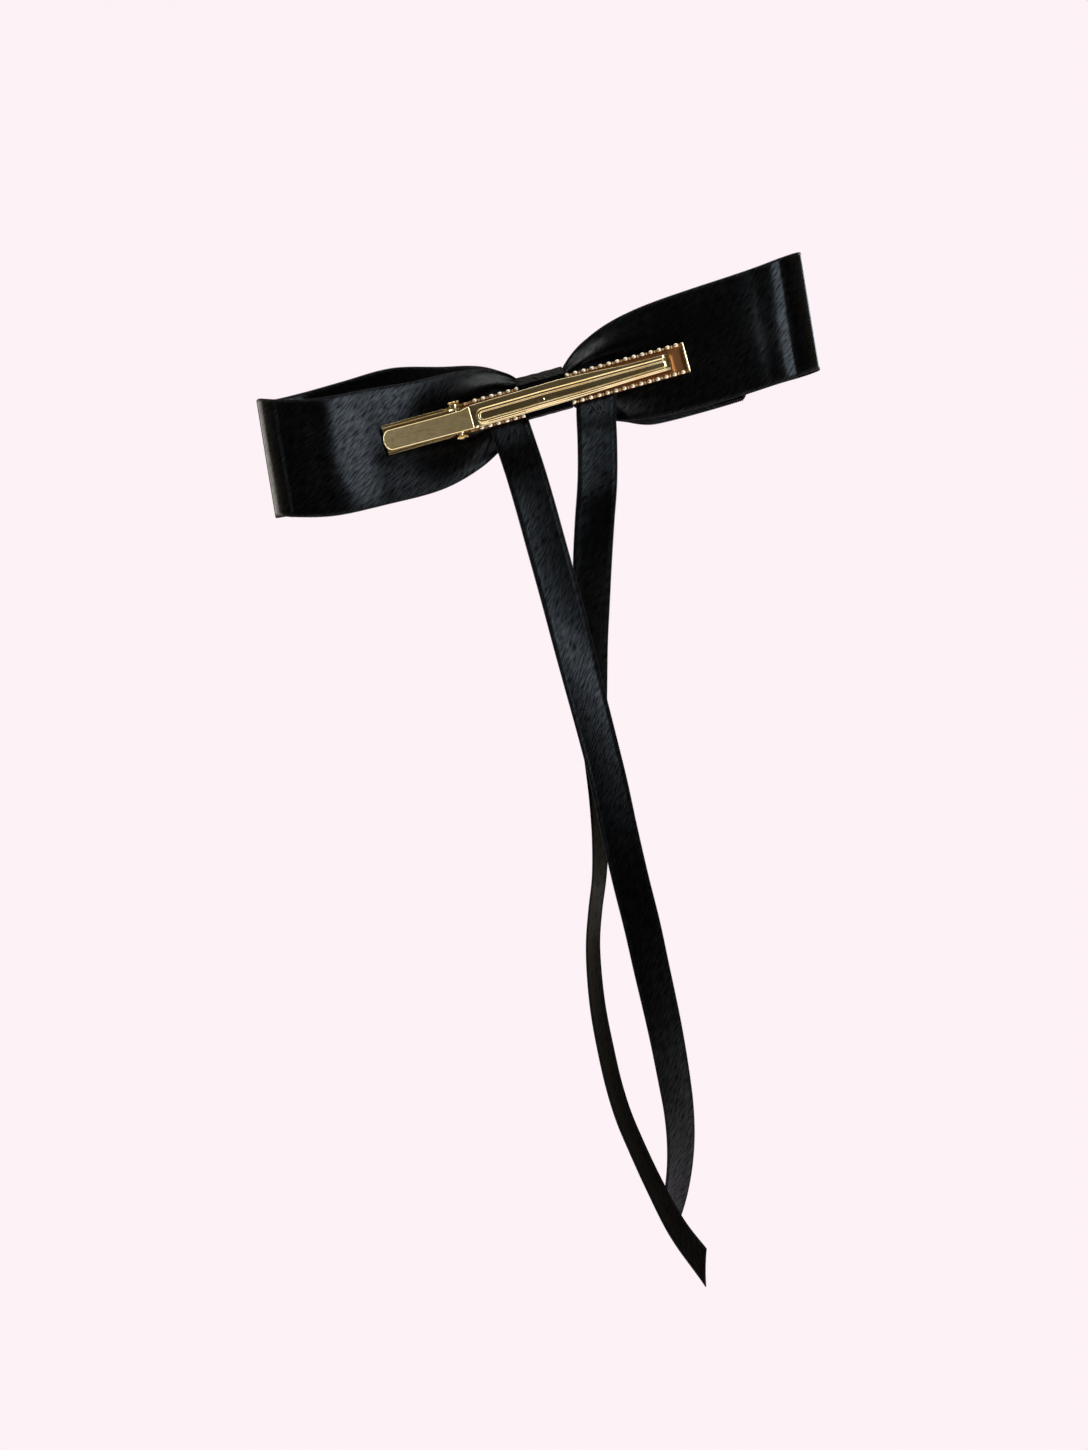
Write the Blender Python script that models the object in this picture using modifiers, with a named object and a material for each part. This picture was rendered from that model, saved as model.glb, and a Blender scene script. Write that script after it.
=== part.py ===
"""Spring alligator hair clip that carries a satin ribbon bow with two hanging tails.

Metres. +X runs along the clip from the thumb end to the tip, +Z runs across it towards the bow's
upper edge, and -Y is the side that goes into the hair. The origin is on the clip's centre line,
between the jaws, at the middle of the bow.
"""

import math

import bmesh
import bpy
from mathutils import Vector

MM = 0.001

# Clearances between pieces
GAP = 0.3 * MM
CLOSE_GAP = 0.2 * MM
RUNNING_GAP = 0.1 * MM

# Base jaw: a channel with a toothed wall along each long edge
BASE_WIDTH = 5.66 * MM
BASE_DEPTH = 2.2 * MM
BASE_SHEET = 0.5 * MM
TIP_X = 28.6 * MM
TOOTH_TOP_Y = -0.3 * MM
TOOTH_DEPTH = 0.65 * MM
TOOTH_PITCH = 1.64 * MM
TOOTH_ROOT = 1.35 * MM
TOOTH_CREST = 0.7 * MM
REAR_WALL_HEIGHT = 1.0 * MM
HANDLE_LENGTH = 14.3 * MM

# Hinge
PIVOT_X = -16.2 * MM
PIN_RADIUS = 0.6 * MM
PIN_HEAD_OVERHANG = 0.38 * MM
PIN_HEAD_HEIGHT = 0.6 * MM
BASE_EAR_WALL = 0.7 * MM
EAR_FLARE = 0.8 * MM

# Lever jaw
LEVER_SIDE_CLEAR = 0.13 * MM
LEVER_SHEET = 0.45 * MM
LEVER_EAR_WALL = 0.55 * MM
LEVER_EAR_SHEET = 0.42 * MM
LEVER_EAR_INSET = 0.05 * MM
PIN_BELOW_LEVER = 0.4 * MM
BEND_AHEAD_OF_PIN = 2.6 * MM
THUMB_ANGLE = math.radians(20.0)
THUMB_LENGTH = 18.0 * MM
LEVER_TIP_CLEAR = 3.2 * MM
TIP_WIDTH_SHARE = 0.68
TIP_BEND_RADIUS = 0.9 * MM
TIP_DROP = 1.4 * MM
RIB_RADIUS = 0.42 * MM
RIB_MARGIN = 0.58 * MM
RIB_START_AHEAD_OF_BEND = 0.8 * MM
RIB_END_BEFORE_TIP = 1.5 * MM

# Leaf spring
SPRING_SIDE_CLEAR = 0.33 * MM
SPRING_SHEET = 0.3 * MM
SPRING_REACH = 10.0 * MM
SPRING_RAMP = 3.0 * MM

# Wide ribbon of the bow
BOW_RIBBON_WIDTH = 22.4 * MM
BOW_RIBBON_THICKNESS = 0.3 * MM
BOW_CENTRE_X = 0.9 * MM
BOW_CENTRE_Z = 1.2 * MM
LEFT_REACH = 54.4 * MM
RIGHT_REACH = 53.4 * MM
LOOP_DEPTH = 12.0 * MM
PINCH_HALF_HEIGHT = 2.9 * MM
PINCH_STAND_OFF = 1.35 * MM
PINCH_PLEAT = 0.55 * MM
PINCH_LAYER_STEP = 1.2 * MM
FLARE_LENGTH = 7.0 * MM
PLEAT_RISE = 4.0 * MM
PLEAT_FADE = 16.0 * MM
END_LEAN = 0.107
LEAN_START = 21.6 * MM
LEAN_SPAN = 27.0 * MM
LAP_SHORT_OF_EDGE = 0.3 * MM

# Ribbon band round the pinch and the base jaw
WRAP_WIDTH = 9.0 * MM
WRAP_THICKNESS = 0.25 * MM
WRAP_CORNER = 0.6 * MM
WRAP_TOP_SLOPE = 1.0 * MM
WRAP_BOTTOM_SLOPE = 0.7 * MM

# Binding thread
THREAD_RADIUS = 0.15 * MM
THREAD_TURNS = 3
THREAD_PITCH = 0.55 * MM

# Narrow ribbon of the tails
TAIL_WIDTH = 7.4 * MM
TAIL_THICKNESS = 0.25 * MM
TAIL_CUT_ANGLE = math.radians(37.0)
TAIL_STATIONS = 52

# Glue and tacking thread
GLUE_LENGTH = 11.0 * MM
GLUE_WIDTH = 3.0 * MM
GLUE_THICKNESS = 0.7 * MM
GLUE_START = 15.5 * MM
DAB_SIZE = (3.6 * MM, 0.4 * MM, 2.6 * MM)
TACK_RADIUS = 0.11 * MM
TACK_PROUD = 1.1 * MM

# Places that follow from the sizes above
BASE_BACK_Y = TOOTH_TOP_Y + BASE_DEPTH
FLOOR_Y = BASE_BACK_Y - BASE_SHEET
VALLEY_Y = TOOTH_TOP_Y + TOOTH_DEPTH
REAR_X = PIVOT_X - HANDLE_LENGTH
REAR_WALL_Y = BASE_BACK_Y - REAR_WALL_HEIGHT
PIN_HEAD_RADIUS = PIN_RADIUS + PIN_HEAD_OVERHANG
BASE_EAR_RADIUS = PIN_RADIUS + BASE_EAR_WALL
LEVER_EAR_RADIUS = PIN_RADIUS + LEVER_EAR_WALL
LEVER_WIDTH = BASE_WIDTH - 2 * BASE_SHEET - 2 * LEVER_SIDE_CLEAR
RIB_HALF_SPACING = LEVER_WIDTH / 2 - RIB_MARGIN - RIB_RADIUS
SPRING_WIDTH = LEVER_WIDTH - 2 * (LEVER_EAR_INSET + LEVER_EAR_SHEET + SPRING_SIDE_CLEAR)
SPRING_BEND_RADIUS = PIN_RADIUS + CLOSE_GAP + SPRING_SHEET / 2
WRAP_FRONT_OF_TEETH_Y = TOOTH_TOP_Y - CLOSE_GAP - WRAP_THICKNESS / 2
LEVER_UNDER_Y = TOOTH_TOP_Y - 2 * CLOSE_GAP - WRAP_THICKNESS
LEVER_MID_Y = LEVER_UNDER_Y - LEVER_SHEET / 2
LEVER_OUTER_Y = LEVER_UNDER_Y - LEVER_SHEET
BEND_X = PIVOT_X + BEND_AHEAD_OF_PIN
PIN_Y = LEVER_UNDER_Y + PIN_BELOW_LEVER
LEVER_TIP_X = TIP_X - LEVER_TIP_CLEAR
TAIL_Y = BASE_BACK_Y + GAP + TAIL_THICKNESS / 2
NEAR_PINCH_Y = BASE_BACK_Y + PINCH_STAND_OFF + PINCH_PLEAT + BOW_RIBBON_THICKNESS / 2
LAP_PINCH_Y = NEAR_PINCH_Y + PINCH_LAYER_STEP
FAR_PINCH_Y = LAP_PINCH_Y + PINCH_LAYER_STEP
BUNDLE_HALF_DEPTH = PINCH_PLEAT + BOW_RIBBON_THICKNESS / 2

# Half of the bow seen from above, as (distance from the pinch as a share of the loop's reach,
# depth behind the near pinch layer as a share of the loop's depth)
LEFT_NEAR = [
    (0.172, 0.11), (0.278, 0.1), (0.427, 0.05), (0.612, -0.07), (0.798, -0.17), (0.928, -0.14)]
RIGHT_NEAR = [
    (0.172, 0.11), (0.278, 0.06), (0.427, -0.04), (0.612, -0.09), (0.798, -0.11), (0.928, -0.05)]
END_TURN = [(0.989, 0.19), (1.0, 0.46), (0.956, 0.72)]
FAR_HALF = [(0.853, 0.85), (0.686, 0.89), (0.501, 0.84), (0.315, 0.69), (0.174, 0.45)]

# Height of the ribbon's middle above the pinch, at the near layer and at the far layer, for each
# loop, at a third and two thirds of the reach and at the end
LEFT_RISE = {"near": (-1.9 * MM, -0.7 * MM), "far": (1.0 * MM, 2.6 * MM), "end": 2.3 * MM}
RIGHT_RISE = {"near": (0.2 * MM, 1.0 * MM), "far": (0.5 * MM, 1.1 * MM), "end": 1.9 * MM}

# Routes of the tails: x, z and the distance along Y from the tucked end in millimetres, where
# less is nearer the hair, and the turn about the tail's own length in degrees
LEFT_TAIL = [
    (-7.7, 2.4, 0.0, 0), (-7.7, -1.6, 0.0, 0), (-7.4, -6.6, -0.5, 0), (-6.8, -13.0, -1.8, 0),
    (-6.5, -20.0, -2.9, 0), (-6.4, -27.1, -3.5, 0), (-6.4, -37.8, -4.1, 2), (-6.5, -45.7, -4.3, 8),
    (-6.6, -53.5, -4.4, 15), (-6.7, -64.2, -4.4, 20), (-6.9, -73.5, -4.3, 22), (-7.4, -82.5, -4.1, 22),
    (-7.8, -92.0, -3.7, 22), (-8.0, -101.0, -3.1, 22), (-8.4, -109.0, -2.4, 24), (-9.0, -121.3, -1.0, 29),
    (-9.8, -130.9, 0.4, 34), (-10.5, -137.0, 1.4, 39), (-11.6, -142.5, 2.3, 43), (-13.2, -147.7, 3.0, 47),
    (-15.2, -152.3, 3.5, 50), (-17.7, -156.6, 3.8, 52),
]
RIGHT_TAIL = [
    (11.8, 2.4, 0.0, 0), (10.7, -1.2, 0.0, 0), (9.5, -5.0, -0.4, 0), (8.2, -10.5, -1.4, 0),
    (6.2, -17.8, -1.9, 0), (3.7, -25.0, -1.4, 3), (1.3, -32.2, -0.6, 10), (-0.9, -39.4, 0.2, 19),
    (-3.0, -46.6, 0.7, 28), (-4.8, -53.9, 1.1, 37), (-6.5, -61.2, 1.3, 45), (-8.0, -68.8, 1.3, 53),
    (-9.5, -76.2, 1.2, 60), (-11.3, -83.6, 0.9, 65), (-13.4, -90.4, 0.4, 68), (-15.7, -96.0, -0.2, 69),
    (-17.7, -101.6, -0.8, 69), (-19.1, -107.5, -1.5, 68), (-20.2, -114.3, -2.3, 67),
    (-20.8, -121.5, -3.0, 66), (-21.1, -128.5, -3.7, 66), (-20.9, -134.5, -4.2, 66),
    (-20.1, -140.6, -4.6, 66), (-18.8, -148.3, -5.0, 65), (-16.8, -157.3, -5.2, 62),
    (-13.5, -166.0, -5.2, 58),
]

# Zigzag of the tacking thread on the right tail: x and z in millimetres
TACK_ZIGZAG = [(9.0, -3.5), (9.9, -5.4), (10.4, -3.6), (11.1, -5.5), (11.7, -3.8)]

GOLD = ("gold plate", (0.78, 0.6, 0.26, 1.0), 0.25, 1.0)
SPRING_STEEL = ("spring steel", (0.42, 0.42, 0.44, 1.0), 0.35, 1.0)
BLACK_SATIN = ("black satin", (0.008, 0.008, 0.01, 1.0), 0.35, 0.0)
BLACK_THREAD = ("black thread", (0.01, 0.01, 0.012, 1.0), 0.7, 0.0)
PALE_THREAD = ("pale thread", (0.09, 0.095, 0.1, 1.0), 0.6, 0.0)
CLEAR_GLUE = ("glue", (0.7, 0.66, 0.56, 1.0), 0.4, 0.0)


def clear_scene():
    for obj in list(bpy.data.objects):
        bpy.data.objects.remove(obj, do_unlink=True)


def collection(name):
    made = bpy.data.collections.new(name)
    bpy.context.scene.collection.children.link(made)
    return made


def finish(obj, look):
    name, colour, roughness, metallic = look
    material = bpy.data.materials.new(f"{obj.name} {name}")
    material.use_nodes = True
    shader = material.node_tree.nodes["Principled BSDF"]
    shader.inputs["Base Color"].default_value = colour
    shader.inputs["Roughness"].default_value = roughness
    shader.inputs["Metallic"].default_value = metallic
    obj.data.materials.clear()
    obj.data.materials.append(material)


def mesh_object(name, mesh, group):
    obj = bpy.data.objects.new(name, mesh)
    group.objects.link(obj)
    return obj


def hide_cutter(obj):
    obj.hide_render = True
    obj.display_type = "WIRE"


def curve_to_mesh(curve_obj, group):
    """Replace a curve object by its evaluated mesh, with the loose caps welded on."""
    evaluated = curve_obj.evaluated_get(bpy.context.evaluated_depsgraph_get())
    mesh = bpy.data.meshes.new_from_object(evaluated)
    cleaner = bmesh.new()
    cleaner.from_mesh(mesh)
    bmesh.ops.remove_doubles(cleaner, verts=cleaner.verts, dist=1e-6)
    bmesh.ops.recalc_face_normals(cleaner, faces=cleaner.faces)
    cleaner.to_mesh(mesh)
    cleaner.free()
    name, place = curve_obj.name, curve_obj.matrix_world.copy()
    bpy.data.objects.remove(curve_obj, do_unlink=True)
    obj = mesh_object(name, mesh, group)
    obj.matrix_world = place
    return obj


def prism(name, outline, low_z, high_z, group):
    """A flat outline in X and Y, drawn out along Z."""
    mesh = bpy.data.meshes.new(name)
    builder = bmesh.new()
    face = builder.faces.new([builder.verts.new((x, y, low_z)) for x, y in outline])
    drawn = bmesh.ops.extrude_face_region(builder, geom=[face], use_keep_orig=True)
    moved = [item for item in drawn["geom"] if isinstance(item, bmesh.types.BMVert)]
    bmesh.ops.translate(builder, vec=(0.0, 0.0, high_z - low_z), verts=moved)
    bmesh.ops.recalc_face_normals(builder, faces=builder.faces)
    builder.to_mesh(mesh)
    builder.free()
    return mesh_object(name, mesh, group)


def wire(name, points, radius, resolution, group):
    curve = bpy.data.curves.new(name, "CURVE")
    curve.dimensions = "3D"
    curve.bevel_depth = radius
    curve.bevel_resolution = resolution
    curve.use_fill_caps = True
    spline = curve.splines.new("POLY")
    spline.points.add(len(points) - 1)
    for point, place in zip(spline.points, points):
        point.co = (*place, 1.0)
    obj = bpy.data.objects.new(name, curve)
    group.objects.link(obj)
    bpy.context.view_layer.update()
    return curve_to_mesh(obj, group)


def cylinder_along_z(name, x, y, radius, half_length, group):
    mesh = bpy.data.meshes.new(name)
    builder = bmesh.new()
    bmesh.ops.create_cone(
        builder, cap_ends=True, segments=24, radius1=radius, radius2=radius, depth=2 * half_length)
    builder.to_mesh(mesh)
    builder.free()
    obj = mesh_object(name, mesh, group)
    obj.location = (x, y, 0.0)
    return obj


def combine(obj, other, operation):
    modifier = obj.modifiers.new(f"{operation.lower()} {other.name}", "BOOLEAN")
    modifier.operation = operation
    modifier.object = other
    modifier.solver = "EXACT"
    hide_cutter(other)


def ribbon_solid(name, rows, thickness, group, closed=False):
    """Cloth band with a row of points across it at each station, thickened both ways."""
    mesh = bpy.data.meshes.new(name)
    builder = bmesh.new()
    grid = [[builder.verts.new(point) for point in row] for row in rows]
    following = grid[1:] + ([grid[0]] if closed else [])
    for row, after in zip(grid, following):
        for i in range(len(row) - 1):
            builder.faces.new((row[i], after[i], after[i + 1], row[i + 1]))
    builder.to_mesh(mesh)
    builder.free()
    obj = mesh_object(name, mesh, group)
    solidify = obj.modifiers.new("thickness", "SOLIDIFY")
    solidify.thickness = thickness
    solidify.offset = 0.0
    return obj


def blob(name, centre, size, group):
    """A soft blob of glue: a box cage rounded by subdivision."""
    mesh = bpy.data.meshes.new(name)
    builder = bmesh.new()
    bmesh.ops.create_cube(builder, size=1.0)
    bmesh.ops.scale(builder, vec=size, verts=builder.verts)
    builder.to_mesh(mesh)
    builder.free()
    obj = mesh_object(name, mesh, group)
    obj.location = centre
    rounding = obj.modifiers.new("rounding", "SUBSURF")
    rounding.levels = 2
    rounding.render_levels = 2
    return obj


def arc(cx, cy, radius, start, end, steps):
    """Points of an arc, with angles in radians."""
    turns = [start + (end - start) * i / steps for i in range(steps + 1)]
    return [(cx + radius * math.cos(t), cy + radius * math.sin(t)) for t in turns]


def strip_outline(middle, thickness):
    """Outline of a bent sheet seen edge on, from the line along its middle."""
    sides = []
    for i, here in enumerate(middle):
        before = Vector(middle[max(i - 1, 0)])
        after = Vector(middle[min(i + 1, len(middle) - 1)])
        here = Vector(here)
        into = (here - before).normalized() if i > 0 else (after - here).normalized()
        out = (after - here).normalized() if i < len(middle) - 1 else into
        normal = Vector((-(into + out).y, (into + out).x)).normalized()
        reach = thickness / 2 / max(normal.dot(Vector((-into.y, into.x))), 0.5)
        sides.append((here + normal * reach, here - normal * reach))
    return [tuple(a) for a, _ in sides] + [tuple(b) for _, b in reversed(sides)]


def smooth_curve(points, count):
    """Evenly spaced samples of a centripetal Catmull-Rom curve through the points."""
    points = [Vector(p) for p in points]
    ends = [2 * points[0] - points[1]] + points + [2 * points[-1] - points[-2]]
    dense = []
    for a, b, c, d in zip(ends, ends[1:], ends[2:], ends[3:]):
        knots = [0.0]
        for p, q in ((a, b), (b, c), (c, d)):
            knots.append(knots[-1] + max((q - p).length, 1e-9) ** 0.5)
        for i in range(16):
            t = knots[1] + (knots[2] - knots[1]) * i / 16
            first = [
                p + (q - p) * ((t - knots[n]) / (knots[n + 1] - knots[n]))
                for n, (p, q) in enumerate(((a, b), (b, c), (c, d)))
            ]
            second = [
                first[n] + (first[n + 1] - first[n]) * ((t - knots[n]) / (knots[n + 2] - knots[n]))
                for n in range(2)
            ]
            dense.append(second[0] + (second[1] - second[0]) * ((t - knots[1]) / (knots[2] - knots[1])))
    dense.append(points[-1])
    lengths = [0.0]
    for p, q in zip(dense, dense[1:]):
        lengths.append(lengths[-1] + (q - p).length)
    samples = []
    at = 0
    for i in range(count):
        want = lengths[-1] * i / (count - 1)
        while at < len(dense) - 2 and lengths[at + 1] < want:
            at += 1
        share = (want - lengths[at]) / max(lengths[at + 1] - lengths[at], 1e-12)
        samples.append(dense[at].lerp(dense[at + 1], min(max(share, 0.0), 1.0)))
    return samples


def smooth_step(value):
    value = min(max(value, 0.0), 1.0)
    return value * value * (3 - 2 * value)


def base_jaw(group, cutters):
    """One stamping: floor, toothed walls, hinge ears and flat handle, hollowed from a solid bar."""
    outline = [(REAR_X, BASE_BACK_Y), (TIP_X, BASE_BACK_Y), (TIP_X, TOOTH_TOP_Y)]
    outline.append((TIP_X - BASE_SHEET, TOOTH_TOP_Y))
    ear_front_x = PIVOT_X + BASE_EAR_RADIUS + EAR_FLARE
    centre = TIP_X - BASE_SHEET - CLOSE_GAP - TOOTH_ROOT / 2
    while centre - TOOTH_ROOT / 2 > ear_front_x:
        outline += [
            (centre + TOOTH_ROOT / 2, VALLEY_Y), (centre + TOOTH_CREST / 2, TOOTH_TOP_Y),
            (centre - TOOTH_CREST / 2, TOOTH_TOP_Y), (centre - TOOTH_ROOT / 2, VALLEY_Y)]
        centre -= TOOTH_PITCH
    outline.append((ear_front_x - CLOSE_GAP, VALLEY_Y))
    outline += arc(PIVOT_X, PIN_Y, BASE_EAR_RADIUS, 0.0, -math.pi, 12)
    outline += [(PIVOT_X - BASE_EAR_RADIUS - EAR_FLARE, REAR_WALL_Y), (REAR_X, REAR_WALL_Y)]
    jaw = prism("base_jaw", outline, -BASE_WIDTH / 2, BASE_WIDTH / 2, group)
    inside = BASE_WIDTH / 2 - BASE_SHEET
    open_y = PIN_Y - 2 * BASE_EAR_RADIUS
    hollow = [
        (REAR_X - BASE_SHEET, FLOOR_Y), (TIP_X - BASE_SHEET, FLOOR_Y),
        (TIP_X - BASE_SHEET, open_y), (REAR_X - BASE_SHEET, open_y)]
    combine(jaw, prism("base_hollow", hollow, -inside, inside, cutters), "DIFFERENCE")
    hole = cylinder_along_z("base_pin_hole", PIVOT_X, PIN_Y, PIN_RADIUS + RUNNING_GAP, BASE_WIDTH, cutters)
    combine(jaw, hole, "DIFFERENCE")
    finish(jaw, GOLD)


def thumb_tab_point(distance, lift):
    """A point along the thumb tab from the bend, raised from the sheet's middle to its outer face."""
    return (
        BEND_X - distance * math.cos(THUMB_ANGLE) + lift * math.sin(THUMB_ANGLE),
        LEVER_MID_Y - distance * math.sin(THUMB_ANGLE) - lift * math.cos(THUMB_ANGLE))


def lever_jaw(group, cutters):
    """Thumb tab, bend, flat jaw with a raised rib, turned-down tip and two ears round the pin."""
    tip_arc = arc(
        LEVER_TIP_X - TIP_BEND_RADIUS, LEVER_MID_Y + TIP_BEND_RADIUS, TIP_BEND_RADIUS,
        -math.pi / 2, 0.0, 6)
    middle = [thumb_tab_point(THUMB_LENGTH, 0.0), (BEND_X, LEVER_MID_Y)] + tip_arc
    middle.append((LEVER_TIP_X, LEVER_MID_Y + TIP_BEND_RADIUS + TIP_DROP))
    half = LEVER_WIDTH / 2
    jaw = prism("lever_jaw", strip_outline(middle, LEVER_SHEET), -half, half, group)
    ear_top = LEVER_SHEET / 2 / math.cos(THUMB_ANGLE)
    for side in (-1, 1):
        rear_x = PIVOT_X - LEVER_EAR_RADIUS
        front_x = PIVOT_X + LEVER_EAR_RADIUS
        slope = math.tan(THUMB_ANGLE)
        ear = [
            (rear_x, LEVER_MID_Y - (BEND_X - rear_x) * slope + ear_top / 2),
            (front_x, LEVER_MID_Y - (BEND_X - front_x) * slope + ear_top / 2)]
        ear += arc(PIVOT_X, PIN_Y, LEVER_EAR_RADIUS, 0.0, math.pi, 12)
        outside = half - LEVER_EAR_INSET
        low, high = sorted((side * outside, side * (outside - LEVER_EAR_SHEET)))
        name = "lever_ear_upper" if side > 0 else "lever_ear_lower"
        combine(jaw, prism(name, ear, low, high, cutters), "UNION")
    rib_start = BEND_X + RIB_START_AHEAD_OF_BEND + RIB_HALF_SPACING + RIB_RADIUS
    rib_end = LEVER_TIP_X - RIB_END_BEFORE_TIP
    turn = arc(rib_start, 0.0, RIB_HALF_SPACING, math.pi / 2, 1.5 * math.pi, 10)
    flat_path = [(rib_end, RIB_HALF_SPACING)] + turn + [(rib_end, -RIB_HALF_SPACING)]
    rib = wire("lever_rib", [(x, LEVER_OUTER_Y, z) for x, z in flat_path], RIB_RADIUS, 2, cutters)
    combine(jaw, rib, "UNION")
    hole = cylinder_along_z("lever_pin_hole", PIVOT_X, PIN_Y, PIN_RADIUS + RUNNING_GAP, BASE_WIDTH, cutters)
    combine(jaw, hole, "DIFFERENCE")
    for vert in jaw.data.vertices:
        share = min(max((vert.co.x - BEND_X) / (LEVER_TIP_X - BEND_X), 0.0), 1.0)
        vert.co.z *= 1 + (TIP_WIDTH_SHARE - 1) * share
    finish(jaw, GOLD)


def hinge_pin(group):
    """Rivet turned round Z, with a formed head outside each ear of the base jaw."""
    shoulder = BASE_WIDTH / 2 + RUNNING_GAP
    top = shoulder + PIN_HEAD_HEIGHT
    profile = [
        (0.0, top), (0.6 * PIN_HEAD_RADIUS, top), (PIN_HEAD_RADIUS, top - 0.4 * PIN_HEAD_HEIGHT),
        (PIN_HEAD_RADIUS, shoulder), (PIN_RADIUS, shoulder)]
    profile += [(r, -z) for r, z in reversed(profile)]
    mesh = bpy.data.meshes.new("hinge_pin")
    mesh.from_pydata([(r, 0.0, z) for r, z in profile], [(i, i + 1) for i in range(len(profile) - 1)], [])
    pin = mesh_object("hinge_pin", mesh, group)
    pin.location = (PIVOT_X, PIN_Y, 0.0)
    screw = pin.modifiers.new("turned", "SCREW")
    screw.axis = "Z"
    screw.steps = 24
    screw.render_steps = 24
    screw.use_merge_vertices = True
    screw.merge_threshold = 1e-6
    finish(pin, GOLD)


def leaf_spring(group):
    """Flat spring bent round the front of the pin, with an arm under each handle."""
    quarter = math.pi / 2
    turn = arc(PIVOT_X, PIN_Y, SPRING_BEND_RADIUS, quarter, THUMB_ANGLE - quarter, 14)
    lower_y = FLOOR_Y - CLOSE_GAP - SPRING_SHEET / 2
    lower = [(PIVOT_X - SPRING_REACH, lower_y), (PIVOT_X - SPRING_RAMP, lower_y)]
    end_x, end_y = turn[-1]
    upper = (end_x - SPRING_REACH * math.cos(THUMB_ANGLE), end_y - SPRING_REACH * math.sin(THUMB_ANGLE))
    outline = strip_outline(lower + turn + [upper], SPRING_SHEET)
    spring = prism("leaf_spring", outline, -SPRING_WIDTH / 2, SPRING_WIDTH / 2, group)
    finish(spring, SPRING_STEEL)


def half_height(distance):
    """Half of the gathered ribbon's height at a distance from the pinch."""
    full = BOW_RIBBON_WIDTH / 2
    past_wrap = max(distance - WRAP_WIDTH / 2, 0.0)
    return full - (full - PINCH_HALF_HEIGHT) * math.exp(-past_wrap / FLARE_LENGTH)


def pleat_depth(distance):
    """Depth of the gathers: what keeps the ribbon's width along the folds, faded out with distance."""
    height = half_height(distance)
    spare = math.sqrt(max(height * (BOW_RIBBON_WIDTH / 2 - height), 0.0)) / math.pi
    faded = spare / (1 + (distance / PLEAT_FADE) ** 4)
    growth = smooth_step((distance - WRAP_WIDTH / 2) / PLEAT_RISE)
    return PINCH_PLEAT * (1 - growth) + faded * growth


def loop_route(side, reach, near_half, rise):
    """One loop from the near layer out to the end and back along the far layer."""
    route = []
    count = len(near_half)
    near_one, near_two = rise["near"]
    far_one, far_two = rise["far"]
    for i, (share, depth) in enumerate(near_half):
        lift = near_one * min(i / 2, 1.0) + (near_two - near_one) * smooth_step((i - 2) / (count - 3))
        if i == count - 1:
            lift = (near_two + rise["end"]) / 2
        route.append((share, depth, lift))
    route += [(share, depth, rise["end"]) for share, depth in END_TURN]
    for i, (share, depth) in enumerate(FAR_HALF):
        lift = rise["end"] + (far_two - rise["end"]) * smooth_step(i / 2)
        if i > 2:
            lift = far_one
        route.append((share, depth, lift))
    return [
        (BOW_CENTRE_X + side * share * reach, NEAR_PINCH_Y + LOOP_DEPTH * depth, BOW_CENTRE_Z + lift)
        for share, depth, lift in route]


def bow_route():
    """The ribbon's middle line from the lapped end in the pinch, round both loops, and back."""
    edge = WRAP_WIDTH / 2
    lap = edge - LAP_SHORT_OF_EDGE
    left_x, right_x = BOW_CENTRE_X - edge, BOW_CENTRE_X + edge
    route = [(BOW_CENTRE_X + lap, NEAR_PINCH_Y, BOW_CENTRE_Z), (BOW_CENTRE_X, NEAR_PINCH_Y, BOW_CENTRE_Z)]
    route.append((left_x, NEAR_PINCH_Y, BOW_CENTRE_Z))
    route += loop_route(-1, LEFT_REACH, LEFT_NEAR, LEFT_RISE)
    route += [(x, FAR_PINCH_Y, BOW_CENTRE_Z) for x in (left_x, BOW_CENTRE_X, right_x)]
    route += reversed(loop_route(1, RIGHT_REACH, RIGHT_NEAR, RIGHT_RISE))
    route += [(x, LAP_PINCH_Y, BOW_CENTRE_Z) for x in (right_x, BOW_CENTRE_X, BOW_CENTRE_X - lap)]
    return route


def bow_ribbon(group):
    rows = []
    across = 13
    for middle in smooth_curve(bow_route(), 112):
        distance = abs(middle.x - BOW_CENTRE_X)
        height = half_height(distance)
        depth = pleat_depth(distance)
        lean = END_LEAN * smooth_step((distance - LEAN_START) / LEAN_SPAN)
        row = []
        for i in range(across):
            share = 2 * i / (across - 1) - 1
            fold = depth * math.cos(2 * math.pi * share)
            row.append((middle.x + lean * height * share, middle.y + fold, middle.z + height * share))
        rows.append(row)
    finish(ribbon_solid("bow_ribbon", rows, BOW_RIBBON_THICKNESS, group), BLACK_SATIN)


def rounded_loop(corners, radius, steps):
    """A closed line through corners in two dimensions, each corner rounded."""
    points = []
    count = len(corners)
    for i, corner in enumerate(corners):
        here = Vector(corner)
        back = (Vector(corners[i - 1]) - here).normalized()
        ahead = (Vector(corners[(i + 1) % count]) - here).normalized()
        half_angle = back.angle(ahead) / 2
        start = here + back * radius / math.tan(half_angle)
        end = here + ahead * radius / math.tan(half_angle)
        centre = here + (back + ahead).normalized() * radius / math.sin(half_angle)
        for step in range(steps + 1):
            direction = (start - centre).lerp(end - centre, step / steps).normalized()
            points.append(centre + direction * radius)
    return points


def thread_box():
    """Low and high Y and Z of the thread's middle line round the gathered ribbon."""
    stand_off = CLOSE_GAP + THREAD_RADIUS
    low_y = NEAR_PINCH_Y - BUNDLE_HALF_DEPTH - stand_off
    high_y = FAR_PINCH_Y + BUNDLE_HALF_DEPTH + stand_off
    reach = PINCH_HALF_HEIGHT + stand_off
    return low_y, high_y, BOW_CENTRE_Z - reach, BOW_CENTRE_Z + reach


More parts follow.
